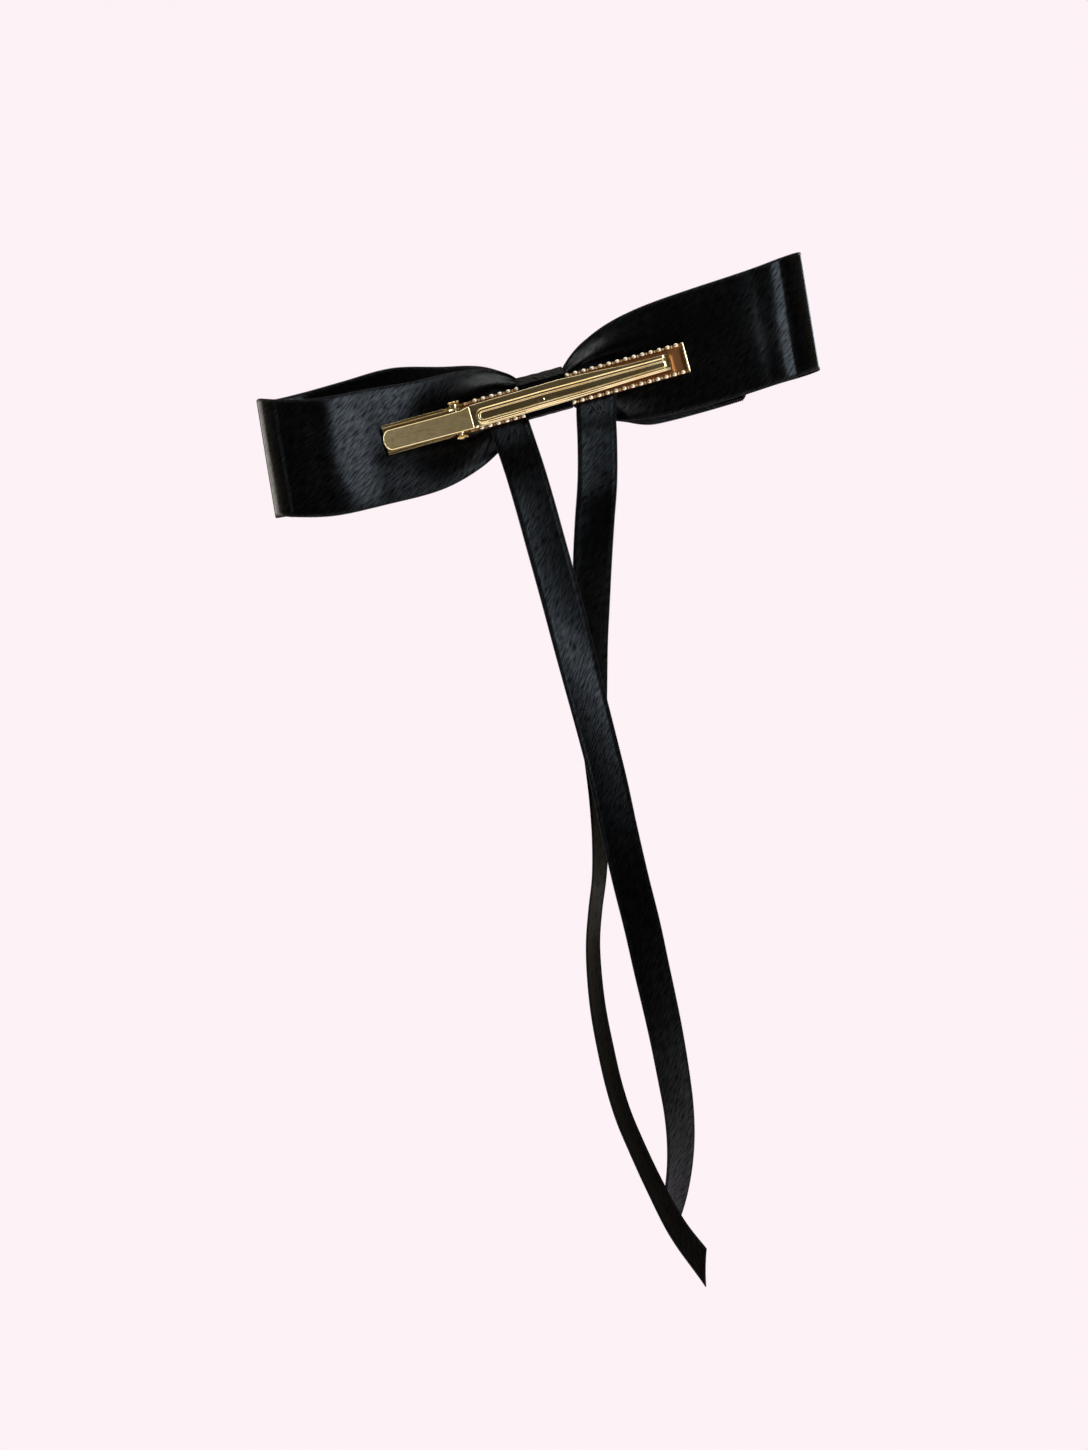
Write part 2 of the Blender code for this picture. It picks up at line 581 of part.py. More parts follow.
def centre_wrap(group):
    """Band round the base jaw, the pinch and the thread."""
    _, thread_high_y, thread_low_z, thread_high_z = thread_box()
    stand_off = THREAD_RADIUS + CLOSE_GAP + WRAP_THICKNESS / 2
    jaw_z = BASE_WIDTH / 2 + CLOSE_GAP + WRAP_THICKNESS / 2
    front_y = thread_high_y + stand_off
    top_z = thread_high_z + stand_off
    bottom_z = thread_low_z - stand_off
    shoulder_y = BASE_BACK_Y + GAP
    corners = [
        (WRAP_FRONT_OF_TEETH_Y, -jaw_z), (WRAP_FRONT_OF_TEETH_Y, jaw_z),
        (shoulder_y + WRAP_TOP_SLOPE, top_z), (front_y, top_z),
        (front_y, min(bottom_z, WRAP_BOTTOM_SLOPE - jaw_z)), (shoulder_y, -jaw_z)]
    rows = []
    for y, z in rounded_loop(corners, WRAP_CORNER, 5):
        rows.append([(BOW_CENTRE_X + WRAP_WIDTH * (i / 4 - 0.5), y, z) for i in range(5)])
    finish(ribbon_solid("centre_wrap", rows, WRAP_THICKNESS, group, closed=True), BLACK_SATIN)


def binding_thread(group):
    low_y, high_y, low_z, high_z = thread_box()
    corners = [(low_y, low_z), (low_y, high_z), (high_y, high_z), (high_y, low_z)]
    loop = rounded_loop(corners, 2 * THREAD_RADIUS + CLOSE_GAP, 4)
    points = []
    total = THREAD_TURNS * len(loop)
    for i in range(total):
        y, z = loop[i % len(loop)]
        x = BOW_CENTRE_X + THREAD_PITCH * (i / len(loop) - THREAD_TURNS / 2)
        points.append((x, y, z))
    finish(wire("binding_thread", points, THREAD_RADIUS, 1, group), BLACK_THREAD)


def tail(name, route, cut_side, group):
    """Narrow ribbon along its route, turned about its length, with a slanting cut end."""
    middle = [Vector((x * MM, TAIL_Y + y * MM, z * MM, turn * MM)) for x, z, y, turn in route]
    samples = smooth_curve(middle, TAIL_STATIONS)
    rows = []
    for i, sample in enumerate(samples):
        before, after = samples[max(i - 1, 0)].xyz, samples[min(i + 1, len(samples) - 1)].xyz
        along = (after - before).normalized()
        flat = along.cross(Vector((0.0, 1.0, 0.0))).normalized()
        deep = flat.cross(along).normalized()
        turn = math.radians(sample.w / MM)
        side = flat * math.cos(turn) + deep * math.sin(turn)
        last = i == len(samples) - 1
        row = []
        for share in (-1.0, 0.0, 1.0):
            point = sample.xyz + side * (share * TAIL_WIDTH / 2)
            if last:
                point += along * (cut_side * share * TAIL_WIDTH / 2 * math.tan(TAIL_CUT_ANGLE))
            row.append(point)
        rows.append(row)
    finish(ribbon_solid(name, rows, TAIL_THICKNESS, group), BLACK_SATIN)


def glue(group):
    bead_place = (BOW_CENTRE_X + GLUE_START + GLUE_LENGTH / 2, BASE_BACK_Y + GAP + GLUE_THICKNESS / 2, 0.0)
    bead_size = (GLUE_LENGTH, GLUE_THICKNESS, GLUE_WIDTH)
    finish(blob("glue_bead", bead_place, bead_size, group), CLEAR_GLUE)
    dab_y = TAIL_Y + TAIL_THICKNESS / 2 + CLOSE_GAP + DAB_SIZE[1] / 2
    for name, route in (("glue_dab_left", LEFT_TAIL), ("glue_dab_right", RIGHT_TAIL)):
        x = (route[0][0] + route[1][0]) / 2 * MM
        finish(blob(name, (x, dab_y, 0.0), DAB_SIZE, group), CLEAR_GLUE)


def tack_thread(group):
    y = TAIL_Y - TACK_PROUD
    points = [(x * MM, y, z * MM) for x, z in TACK_ZIGZAG]
    finish(wire("tack_thread", points, TACK_RADIUS, 1, group), PALE_THREAD)


def main():
    clear_scene()
    group = collection("alligator_hair_clip")
    cutters = collection("cutters")
    base_jaw(group, cutters)
    lever_jaw(group, cutters)
    hinge_pin(group)
    leaf_spring(group)
    bow_ribbon(group)
    binding_thread(group)
    centre_wrap(group)
    tail("tail_left", LEFT_TAIL, 1, group)
    tail("tail_right", RIGHT_TAIL, 1, group)
    glue(group)
    tack_thread(group)


main()
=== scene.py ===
"""Spring alligator hair clip that carries a black satin bow with two hanging ribbon tails.

Metres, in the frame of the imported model: +X along the clip from the thumb end to the tip, +Z
across it, and -Y the side that goes into the hair. Lengths in the tables below are millimetres.
"""

import math

import bmesh
import bpy
from mathutils import Matrix, Vector


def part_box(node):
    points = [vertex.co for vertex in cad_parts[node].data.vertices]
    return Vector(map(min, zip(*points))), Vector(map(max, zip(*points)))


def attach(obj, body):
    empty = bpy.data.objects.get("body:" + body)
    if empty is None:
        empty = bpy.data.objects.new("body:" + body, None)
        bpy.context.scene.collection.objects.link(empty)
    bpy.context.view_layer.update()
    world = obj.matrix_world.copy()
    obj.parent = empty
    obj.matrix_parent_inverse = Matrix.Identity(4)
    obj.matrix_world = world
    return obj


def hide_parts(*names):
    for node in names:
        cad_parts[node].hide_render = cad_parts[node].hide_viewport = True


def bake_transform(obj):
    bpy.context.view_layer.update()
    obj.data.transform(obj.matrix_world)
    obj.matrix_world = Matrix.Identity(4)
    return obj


bl_info = {
    "name": "Ribbon Bow Hair Clip",
    "version": (1, 0, 0),
    "blender": (4, 5, 0),
    "location": "View3D > Sidebar > Hair Clip",
    "description": "Builds the visible surfaces of a spring hair clip with a satin bow and two tails",
    "category": "Object",
}

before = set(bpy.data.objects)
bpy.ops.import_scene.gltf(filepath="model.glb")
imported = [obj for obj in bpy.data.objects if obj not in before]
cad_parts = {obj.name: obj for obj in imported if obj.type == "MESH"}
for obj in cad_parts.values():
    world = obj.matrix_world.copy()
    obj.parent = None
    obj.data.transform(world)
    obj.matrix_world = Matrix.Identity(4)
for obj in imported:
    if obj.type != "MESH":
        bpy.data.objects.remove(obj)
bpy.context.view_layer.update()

MM = 0.001
CLIP = "clip_and_bow"
LEVER = "lever"

# Places read from the frame
BASE_LOW, BASE_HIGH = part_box("base_jaw")
LEVER_LOW, LEVER_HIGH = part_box("lever_jaw")
PIN_LOW, PIN_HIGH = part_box("hinge_pin")
PIN_X = (PIN_LOW.x + PIN_HIGH.x) / 2
PIN_Y = (PIN_LOW.y + PIN_HIGH.y) / 2
WRAP_LOW, WRAP_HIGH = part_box("centre_wrap")
BOW_CENTRE_X = (WRAP_LOW.x + WRAP_HIGH.x) / 2

# Middle of the tucked ends of the tails, between the base jaw and the dabs of glue
TAIL_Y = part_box("glue_dab_left")[0].y - 0.325 * MM

# Half of the bow seen from above, as (distance from the pinch as a share of the loop's reach,
# depth from the near pinch layer as a share of the loop's depth)
LEFT_NEAR = [(0.172, 0.11), (0.278, 0.1), (0.427, 0.05), (0.612, -0.07), (0.798, -0.2), (0.928, -0.17)]
RIGHT_NEAR = [(0.172, 0.11), (0.278, 0.06), (0.427, -0.04), (0.612, -0.1), (0.798, -0.13), (0.928, -0.085)]
END_TURN = [(0.989, 0.19), (1.0, 0.46), (0.956, 0.72)]
FAR_HALF = [(0.853, 0.85), (0.686, 0.89), (0.501, 0.84), (0.315, 0.69), (0.174, 0.45)]

# Routes of the tails: x, z and the distance along Y from the tucked end, and the turn about the
# tail's own length in degrees
LEFT_TAIL = [
    (-7.4, 2.4, 0.0, 0), (-7.1, -1.6, 0.0, 0), (-6.8, -6.6, -0.5, 0), (-6.5, -13.0, -1.8, 0),
    (-6.4, -20.0, -2.9, 0), (-6.4, -27.1, -3.5, 0), (-6.4, -37.8, -4.1, 2), (-6.5, -45.7, -4.3, 8),
    (-6.6, -53.5, -4.4, 15), (-6.7, -64.2, -4.4, 20), (-6.9, -73.5, -4.3, 22), (-7.4, -82.5, -4.1, 22),
    (-7.8, -92.0, -3.7, 22), (-8.0, -101.0, -3.1, 22), (-8.4, -109.0, -2.4, 24), (-9.0, -121.3, -1.0, 29),
    (-9.8, -130.9, 0.4, 34), (-10.5, -137.0, 1.4, 39), (-11.6, -142.5, 2.3, 43), (-13.2, -147.7, 3.0, 47),
    (-15.2, -152.3, 3.5, 50), (-17.7, -156.6, 3.8, 52),
]
RIGHT_TAIL = [
    (11.8, 2.4, 0.0, 0), (10.7, -1.2, 0.0, 0), (9.5, -5.0, -0.4, 0), (8.2, -10.5, -1.4, 0),
    (6.2, -17.8, -1.9, 0), (3.7, -25.0, -1.4, 3), (1.3, -32.2, -0.6, 10), (-0.9, -39.4, 0.2, 19),
    (-3.0, -46.6, 0.7, 28), (-4.8, -53.9, 1.1, 37), (-6.5, -61.2, 1.3, 45), (-8.0, -68.8, 1.3, 53),
    (-9.5, -76.2, 1.2, 60), (-11.3, -83.6, 0.9, 65), (-13.4, -90.4, 0.4, 68), (-15.7, -96.0, -0.2, 69),
    (-17.7, -101.6, -0.8, 69), (-19.1, -107.5, -1.5, 68), (-20.2, -114.3, -2.3, 67),
    (-20.8, -121.5, -3.0, 66), (-21.1, -128.5, -3.7, 66), (-20.9, -134.5, -4.2, 66),
    (-20.1, -140.6, -4.6, 66), (-18.8, -148.3, -5.0, 65), (-16.8, -157.3, -5.2, 62),
    (-13.5, -166.0, -5.2, 58),
]

# Edges of the lever's sheet, which sits a little askew on its pin: x and z
LEVER_TOP_EDGE = [
    (-31.0, 0.9), (-18.6, 1.3), (-15.2, 1.5), (-13.4, 1.95), (-12.0, 2.0), (4.0, 2.28), (11.0, 1.95),
    (17.0, 1.56), (26.0, 1.48)]
LEVER_BOTTOM_EDGE = [
    (-31.0, -2.9), (-18.6, -2.55), (-15.2, -2.45), (-13.4, -2.4), (4.0, -2.12), (17.0, -1.66),
    (26.0, -1.48)]
# Middle of the raised racetrack, x and z, and the rails' spacing as a share of the widest
RAIL_MIDDLE = [
    (-13.6, -0.55), (-4.0, -0.46), (0.0, -0.38), (8.0, -0.38), (12.0, -0.33), (20.0, -0.24), (26.0, -0.2)]
RAIL_SHARE = [
    (-13.6, 1.02), (0.0, 1.0), (8.0, 0.95), (12.0, 0.91), (16.0, 0.86), (20.0, 0.79), (26.0, 0.76)]
# Small dents in the plate: x, z and depth
LEVER_DENTS = [(-0.4, -0.6, 0.02), (0.7, -0.5, 0.05), (2.2, -0.35, 0.02), (2.9, -0.55, 0.02)]

# Zigzag of the tacking thread: x and z
TACK_ZIGZAG = [(9.0, -3.5), (9.9, -5.4), (10.4, -3.6), (11.1, -5.5), (11.7, -3.8)]


def length_property(label, help_text, value):
    return bpy.props.FloatProperty(
        name=label, description=help_text, default=value, min=0.0, precision=5,
        subtype="DISTANCE", unit="LENGTH")


def colour_property(label, help_text, value):
    return bpy.props.FloatVectorProperty(
        name=label, description=help_text, default=value, min=0.0, max=1.0, size=3, subtype="COLOR")


class HairClipMetalSizes(bpy.types.PropertyGroup):
    """Sizes of the stamped metal parts."""

    edge_bevel: length_property("Edge Rounding", "Rounding of the stamped edges", 0.09 * MM)
    lever_sheet: length_property("Lever Sheet", "Thickness of the lever's sheet", 0.45 * MM)
    tab_length: length_property("Thumb Tab Length", "Length of the thumb tab from its bend", 18.0 * MM)
    tab_angle: bpy.props.FloatProperty(
        name="Thumb Tab Angle", description="Rise of the thumb tab from the jaw",
        default=math.radians(20.0), subtype="ANGLE", unit="ROTATION")
    tab_corner: length_property("Tab Corner", "Corner radius at the end of the thumb tab", 1.5 * MM)
    bend_ahead: length_property("Bend Position", "Distance from the pin to the tab's bend", 2.6 * MM)
    rail_spacing: length_property(
        "Rail Spacing", "Half the widest distance between the raised rails", 1.05 * MM)
    rail_height: length_property("Rail Height", "Height of the raised rails", 0.34 * MM)
    tooth_pitch: length_property("Tooth Pitch", "Distance between teeth along the base jaw", 1.64 * MM)
    tooth_count: bpy.props.IntProperty(
        name="Teeth per Side", description="Teeth along each side of the base jaw", default=25, min=1)


class HairClipRibbonSizes(bpy.types.PropertyGroup):
    """Sizes of the ribbons and threads."""

    bow_width: length_property("Bow Ribbon Width", "Width of the bow's ribbon", 22.4 * MM)
    bow_length: length_property("Bow Ribbon Length", "Cut length of the bow's ribbon", 242.0 * MM)
    thickness: length_property("Ribbon Thickness", "Thickness of the woven ribbon", 0.2 * MM)
    left_reach: length_property("Left Reach", "Length of the left loop from the pinch", 54.4 * MM)
    right_reach: length_property("Right Reach", "Length of the right loop from the pinch", 53.4 * MM)
    loop_depth: length_property("Loop Depth", "Depth from the near to the far layer", 12.0 * MM)
    pinch_height: length_property("Pinch Half Height", "Half height of the gathered pinch", 2.9 * MM)
    flare: length_property("Flare Length", "How fast the ribbon opens from the pinch", 7.0 * MM)
    tail_width: length_property("Tail Width", "Width of the tails' ribbon", 7.4 * MM)
    tail_cut: bpy.props.FloatProperty(
        name="Tail Cut Angle", description="Slant of the cut ends of the tails",
        default=math.radians(37.0), subtype="ANGLE", unit="ROTATION")
    bead_spacing: length_property("Selvedge Pitch", "Distance between weft turns on the edge", 0.42 * MM)
    bead_width: length_property("Selvedge Bead", "Thickness of the woven edge", 0.24 * MM)


class HairClipFinishes(bpy.types.PropertyGroup):
    """Colours of the finishes."""

    gold: colour_property("Gold Plate", "Colour of the bright plating", (0.86, 0.71, 0.41))
    deep_gold: colour_property("Worn Gold", "Colour of the plating where it is thin", (0.74, 0.54, 0.24))
    # Painted shade: this darker copper deep in the base jaw's channel stands in for the shade of the recess
    channel_painted_shade: colour_property("Channel Gold", "Colour deep in the channel", (0.44, 0.2, 0.08))
    # Painted highlight: the near-white tooth colour stands in for the glints on the rounded tooth tips
    tooth_painted_glint: colour_property("Tooth Gold", "Colour of the rubbed tooth tips", (1.0, 0.92, 0.76))
    steel: colour_property("Spring Steel", "Colour of the leaf spring", (0.42, 0.42, 0.44))
    satin: colour_property("Black Satin", "Colour of the ribbon", (0.0003, 0.0003, 0.0005))
    satin_lustre: colour_property("Satin Lustre", "Colour of the raised floats", (0.0008, 0.0009, 0.0013))
    thread: colour_property("Black Thread", "Colour of the binding thread", (0.01, 0.01, 0.012))
    pale_thread: colour_property("Pale Thread", "Colour of the tacking thread", (0.03, 0.033, 0.037))
    glue: colour_property("Glue", "Colour of the hot-melt glue", (0.7, 0.66, 0.56))
    backdrop: colour_property("Backdrop", "Colour of the studio surround", (0.982, 0.888, 0.922))


# ---------------------------------------------------------------- curves and meshes


def smooth_step(value):
    value = min(max(value, 0.0), 1.0)
    return value * value * (3 - 2 * value)


def smooth_curve(points, count):
    """Evenly spaced samples of a centripetal Catmull-Rom curve through the points."""
    points = [Vector(p) for p in points]
    ends = [2 * points[0] - points[1]] + points + [2 * points[-1] - points[-2]]
    dense = []
    for a, b, c, d in zip(ends, ends[1:], ends[2:], ends[3:]):
        knots = [0.0]
        for p, q in ((a, b), (b, c), (c, d)):
            knots.append(knots[-1] + max((q - p).length, 1e-9) ** 0.5)
        for i in range(60):
            t = knots[1] + (knots[2] - knots[1]) * i / 60
            first = [
                p + (q - p) * ((t - knots[n]) / (knots[n + 1] - knots[n]))
                for n, (p, q) in enumerate(((a, b), (b, c), (c, d)))
            ]
            second = [
                first[n] + (first[n + 1] - first[n]) * ((t - knots[n]) / (knots[n + 2] - knots[n]))
                for n in range(2)
            ]
            dense.append(second[0] + (second[1] - second[0]) * ((t - knots[1]) / (knots[2] - knots[1])))
    dense.append(points[-1])
    return even_samples(dense, count)


def even_samples(dense, count):
    lengths = [0.0]
    for p, q in zip(dense, dense[1:]):
        lengths.append(lengths[-1] + (q - p).length)
    samples = []
    at = 0
    for i in range(count):
        want = lengths[-1] * i / (count - 1)
        while at < len(dense) - 2 and lengths[at + 1] < want:
            at += 1
        share = (want - lengths[at]) / max(lengths[at + 1] - lengths[at], 1e-12)
        samples.append(dense[at].lerp(dense[at + 1], min(max(share, 0.0), 1.0)))
    return samples


def arc(cx, cy, radius, start, end, steps):
    turns = [start + (end - start) * i / steps for i in range(steps + 1)]
    return [Vector((cx + radius * math.cos(t), cy + radius * math.sin(t))) for t in turns]


def rounded_loop(corners, radius, steps):
    """A closed line through corners in two dimensions, each corner rounded."""
    points = []
    count = len(corners)
    for i, corner in enumerate(corners):
        here = Vector(corner)
        back = (Vector(corners[i - 1]) - here).normalized()
        ahead = (Vector(corners[(i + 1) % count]) - here).normalized()
        half_angle = back.angle(ahead) / 2
        start = here + back * radius / math.tan(half_angle)
        end = here + ahead * radius / math.tan(half_angle)
        centre = here + (back + ahead).normalized() * radius / math.sin(half_angle)
        for step in range(steps + 1):
            direction = (start - centre).lerp(end - centre, step / steps).normalized()
            points.append(centre + direction * radius)
    return points


def read_line(points, x):
    """The second value of a table of points in millimetres at a place x in metres."""
    for (x0, z0), (x1, z1) in zip(points, points[1:]):
        if x <= x1 * MM:
            share = min(max((x / MM - x0) / (x1 - x0), 0.0), 1.0)
            return (z0 + (z1 - z0) * share) * MM
    return points[-1][1] * MM


def link_object(name, data):
    obj = bpy.data.objects.new(name, data)
    bpy.context.scene.collection.objects.link(obj)
    return obj


def mesh_from(builder, name, smooth_angle=35.0):
    mesh = bpy.data.meshes.new(name)
    builder.to_mesh(mesh)
    builder.free()
    mesh.shade_smooth()
    mesh.set_sharp_from_angle(angle=math.radians(smooth_angle))
    return link_object(name, mesh)


def grid_object(name, rows, closed=False):
    """A surface from rows of points, with lengths in metres as its UV map and an edge mask."""
    builder = bmesh.new()
    uv_layer = builder.loops.layers.uv.new("cloth")
    edge_layer = builder.verts.layers.float.new("edge")
    lengths = [0.0]
    middle = len(rows[0]) // 2
    ring = rows + ([rows[0]] if closed else [])
    for row, after in zip(ring, ring[1:]):
        lengths.append(lengths[-1] + (after[middle] - row[middle]).length)
    grid = []
    across = []
    for row in rows:
        line = [builder.verts.new(point) for point in row]
        widths = [0.0]
        for p, q in zip(row, row[1:]):
            widths.append(widths[-1] + (q - p).length)
        for vert, width in zip(line, widths):
            inset = min(width, widths[-1] - width)
            vert[edge_layer] = 1.0 - smooth_step(inset / (0.7 * MM))
        grid.append(line)
        across.append([width - widths[-1] / 2 for width in widths])
    pairs = list(range(len(rows) - 1)) + ([len(rows) - 1] if closed else [])
    for i in pairs:
        j = (i + 1) % len(rows)
        for k in range(len(rows[0]) - 1):
            near, far = lengths[i], lengths[i + 1]
            corners = ((i, k, near), (j, k, far), (j, k + 1, far), (i, k + 1, near))
            face = builder.faces.new([grid[a][b] for a, b, _ in corners])
            for loop, (a, b, along) in zip(face.loops, corners):
                loop[uv_layer].uv = (along, across[a][b])
    return mesh_from(builder, name, 60.0)


def thicken(obj, thickness, offset=0.0):
    solidify = obj.modifiers.new("cloth thickness", "SOLIDIFY")
    solidify.thickness = thickness
    solidify.offset = offset
    return obj


def prism(builder, outline, low_z, high_z):
    """Adds an outline in X and Y drawn out along Z."""
    face = builder.faces.new([builder.verts.new((x, y, low_z)) for x, y in outline])
    drawn = bmesh.ops.extrude_face_region(builder, geom=[face], use_keep_orig=True)
    moved = [item for item in drawn["geom"] if isinstance(item, bmesh.types.BMVert)]
    bmesh.ops.translate(builder, vec=(0.0, 0.0, high_z - low_z), verts=moved)


def round_edges(builder, width, least_angle, segments=2):
    """Rounds every edge where two faces meet at more than the given angle, in degrees."""
    sharp = [
        edge for edge in builder.edges
        if len(edge.link_faces) == 2 and edge.calc_face_angle(0.0) > math.radians(least_angle)]
    bmesh.ops.bevel(
        builder, geom=sharp, offset=width, offset_type="OFFSET", segments=segments, profile=0.6,
        affect="EDGES", clamp_overlap=True)


def rounded_copy(name, node, width):
    """A copy of a stamped part with its edges rounded."""
    builder = bmesh.new()
    builder.from_mesh(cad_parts[node].data)
    bmesh.ops.remove_doubles(builder, verts=builder.verts, dist=2e-6)
    bmesh.ops.dissolve_limit(
        builder, angle_limit=math.radians(1.0), verts=builder.verts, edges=builder.edges)
    round_edges(builder, width, 30.0)
    return mesh_from(builder, name)


# ---------------------------------------------------------------- geometry node trees


def fill(tree, node, inputs):
    """Links each input that is given a socket and sets every other one."""
    for key, value in inputs.items():
        if isinstance(value, bpy.types.NodeSocket):
            tree.links.new(value, node.inputs[key])
        else:
            node.inputs[key].default_value = value


def node_of(tree, kind, inputs=None, **settings):
    node = tree.nodes.new(kind)
    for key, value in settings.items():
        setattr(node, key, value)
    fill(tree, node, inputs or {})
    return node


def new_tree(name, kind, inputs, outputs):
    """A tree with named sockets: the tree, what it is given and its last node."""
    tree = bpy.data.node_groups.new(name, kind)
    for in_out, sockets in (("INPUT", inputs), ("OUTPUT", outputs)):
        for label, sort in sockets.items():
            tree.interface.new_socket(label, in_out=in_out, socket_type="NodeSocket" + sort)
    return tree, node_of(tree, "NodeGroupInput").outputs, node_of(tree, "NodeGroupOutput")


def finish_tree(tree, instances, given, out):
    """Realizes the instances, shades them smooth and gives them the material."""
    real = node_of(tree, "GeometryNodeRealizeInstances", {"Geometry": instances})
    smooth = node_of(tree, "GeometryNodeSetShadeSmooth", {"Geometry": real.outputs["Geometry"]})
    painted = node_of(tree, "GeometryNodeSetMaterial", {
        "Geometry": smooth.outputs["Geometry"], "Material": given["Material"]})
    fill(tree, out, {"Geometry": painted.outputs["Geometry"]})


def beads_along_edges_tree():
    """Small long beads set end to end along every edge: woven selvedges and twisted thread."""
    tree, given, out = new_tree("beads along edges", "GeometryNodeTree", {
        "Geometry": "Geometry", "Spacing": "Float", "Bead Length": "Float", "Bead Width": "Float",
        "Twist": "Float", "Material": "Material"}, {"Geometry": "Geometry"})
    line = node_of(tree, "GeometryNodeMeshToCurve", {"Mesh": given["Geometry"]})
    points = node_of(tree, "GeometryNodeResampleCurve", {
        "Curve": line.outputs["Curve"], "Length": given["Spacing"]}, mode="LENGTH")
    bead = node_of(tree, "GeometryNodeMeshIcoSphere", {"Radius": 0.5, "Subdivisions": 1})
    tangent = node_of(tree, "GeometryNodeInputTangent")
    along = node_of(
        tree, "FunctionNodeAlignRotationToVector", {"Vector": tangent.outputs["Tangent"]}, axis="X")
    twist = node_of(tree, "ShaderNodeCombineXYZ", {"Z": given["Twist"]})
    turned = node_of(tree, "FunctionNodeRotateRotation", {
        "Rotation": along.outputs["Rotation"], "Rotate By": twist.outputs["Vector"]},
        rotation_space="LOCAL")
    size = node_of(tree, "ShaderNodeCombineXYZ", {
        "X": given["Bead Length"], "Y": given["Bead Width"], "Z": given["Bead Width"]})
    beads = node_of(tree, "GeometryNodeInstanceOnPoints", {
        "Points": points.outputs["Curve"], "Instance": bead.outputs["Mesh"],
        "Rotation": turned.outputs["Rotation"], "Scale": size.outputs["Vector"]})
    finish_tree(tree, beads.outputs["Instances"], given, out)
    return tree


def two_rows_tree():
    """The given shape repeated along -X in two rows, one each side of the centre line."""
    tree, given, out = new_tree("two rows", "GeometryNodeTree", {
        "Geometry": "Geometry", "Count": "Int", "Pitch": "Float", "Start X": "Float", "Row Y": "Float",
        "Half Spacing": "Float", "Material": "Material"}, {"Geometry": "Geometry"})
    back = node_of(tree, "ShaderNodeMath", {0: given["Pitch"], 1: -1.0}, operation="MULTIPLY")
    step = node_of(tree, "ShaderNodeCombineXYZ", {"X": back.outputs["Value"]})
    join = node_of(tree, "GeometryNodeJoinGeometry")
    for side in (1.0, -1.0):
        offset = node_of(tree, "ShaderNodeMath", {0: given["Half Spacing"], 1: side}, operation="MULTIPLY")
        start = node_of(tree, "ShaderNodeCombineXYZ", {
            "X": given["Start X"], "Y": given["Row Y"], "Z": offset.outputs["Value"]})
        row = node_of(tree, "GeometryNodeMeshLine", {
            "Count": given["Count"], "Start Location": start.outputs["Vector"],
            "Offset": step.outputs["Vector"]}, mode="OFFSET")
        fill(tree, join, {"Geometry": row.outputs["Mesh"]})
    teeth = node_of(tree, "GeometryNodeInstanceOnPoints", {
        "Points": join.outputs["Geometry"], "Instance": given["Geometry"]})
    finish_tree(tree, teeth.outputs["Instances"], given, out)
    return tree


def grown(obj, tree, values):
    """Runs a node tree on an object and returns the result as a plain mesh under the same name."""
    modifier = obj.modifiers.new(tree.name, "NODES")
    modifier.node_group = tree
    sockets = {
        item.name: item.identifier for item in tree.interface.items_tree
        if item.item_type == "SOCKET" and item.in_out == "INPUT"}
    for label, value in values.items():
        modifier[sockets[label]] = value
    bpy.context.view_layer.update()
    evaluated = obj.evaluated_get(bpy.context.evaluated_depsgraph_get())
    mesh = bpy.data.meshes.new_from_object(evaluated)
    name = obj.name
    bpy.data.objects.remove(obj, do_unlink=True)
    return link_object(name, mesh)


def beads_along(name, lines, values):
    """Beads along lines of points, as one mesh."""
    builder = bmesh.new()
    for points in lines:
        verts = [builder.verts.new(point) for point in points]
        for a, b in zip(verts, verts[1:]):
            builder.edges.new((a, b))
    mesh = bpy.data.meshes.new(name)
    builder.to_mesh(mesh)
    builder.free()
    tree = bpy.data.node_groups.get("beads along edges") or beads_along_edges_tree()
    return grown(link_object(name, mesh), tree, values)


# ---------------------------------------------------------------- materials

# Shader groups: the noises in each, with size in millimetres, turn in degrees and detail, and
# what each output gives: one noise, or the first and second of a blend and the second's share
PATTERNS = {
    # Lengthwise floats, slanting lines of binding points and a slow drift of lustre
    "satin weave": (
        [((1.8, 0.2, 1.0), 0.0, 2.0), ((2.0, 0.28, 1.0), -38.0, 2.0), ((14.0, 7.0, 1.0), 20.0, 1.0)],
        {"Height": (0, 1, 0.6), "Float": 1, "Lustre": 2}),
    # Thin spots in the plating, fine drawing lines along the part and faint dimples
    "plating wear": (
        [((3.0, 2.0, 1.4), 0.0, 4.0), ((9.0, 0.34, 0.28), 0.0, 1.0), ((0.6, 0.5, 0.5), 0.0, 2.0)],
        {"Thin": 0, "Lines": 1, "Height": (1, 2, 0.92)}),
    # Slanting plies and fibres of a twisted thread
    "thread plies": (
        [((0.5, 0.14, 0.5), 35.0, 1.0), ((0.4, 0.05, 0.05), 20.0, 2.0)], {"Height": 0, "Fibre": 1}),
}


def millimetres(tree, vector):
    scale = node_of(tree, "ShaderNodeVectorMath", {0: vector, "Scale": 1.0 / MM}, operation="SCALE")
    return scale.outputs["Vector"]


def object_place(tree):
    return node_of(tree, "ShaderNodeTexCoord").outputs["Object"]


def stretched_noise(tree, vector, size, turn, detail):
    """Noise in patches of the given size in millimetres, turned in the plane of the cloth."""
    place = node_of(tree, "ShaderNodeMapping", {
        "Vector": vector, "Scale": size, "Rotation": (0.0, 0.0, math.radians(turn))},
        vector_type="TEXTURE")
    noise = node_of(tree, "ShaderNodeTexNoise", {
        "Vector": place.outputs["Vector"], "Scale": 1.0, "Detail": detail, "Roughness": 0.55})
    return noise.outputs["Fac"]


def mixed_values(tree, share, first, second):
    mix = node_of(tree, "ShaderNodeMix", {"Factor": share, 2: first, 3: second}, data_type="FLOAT")
    return mix.outputs[0]


def mixed_colours(tree, share, first, second):
    mix = node_of(tree, "ShaderNodeMix", {"Factor": share, 6: first, 7: second}, data_type="RGBA")
    return mix.outputs[2]


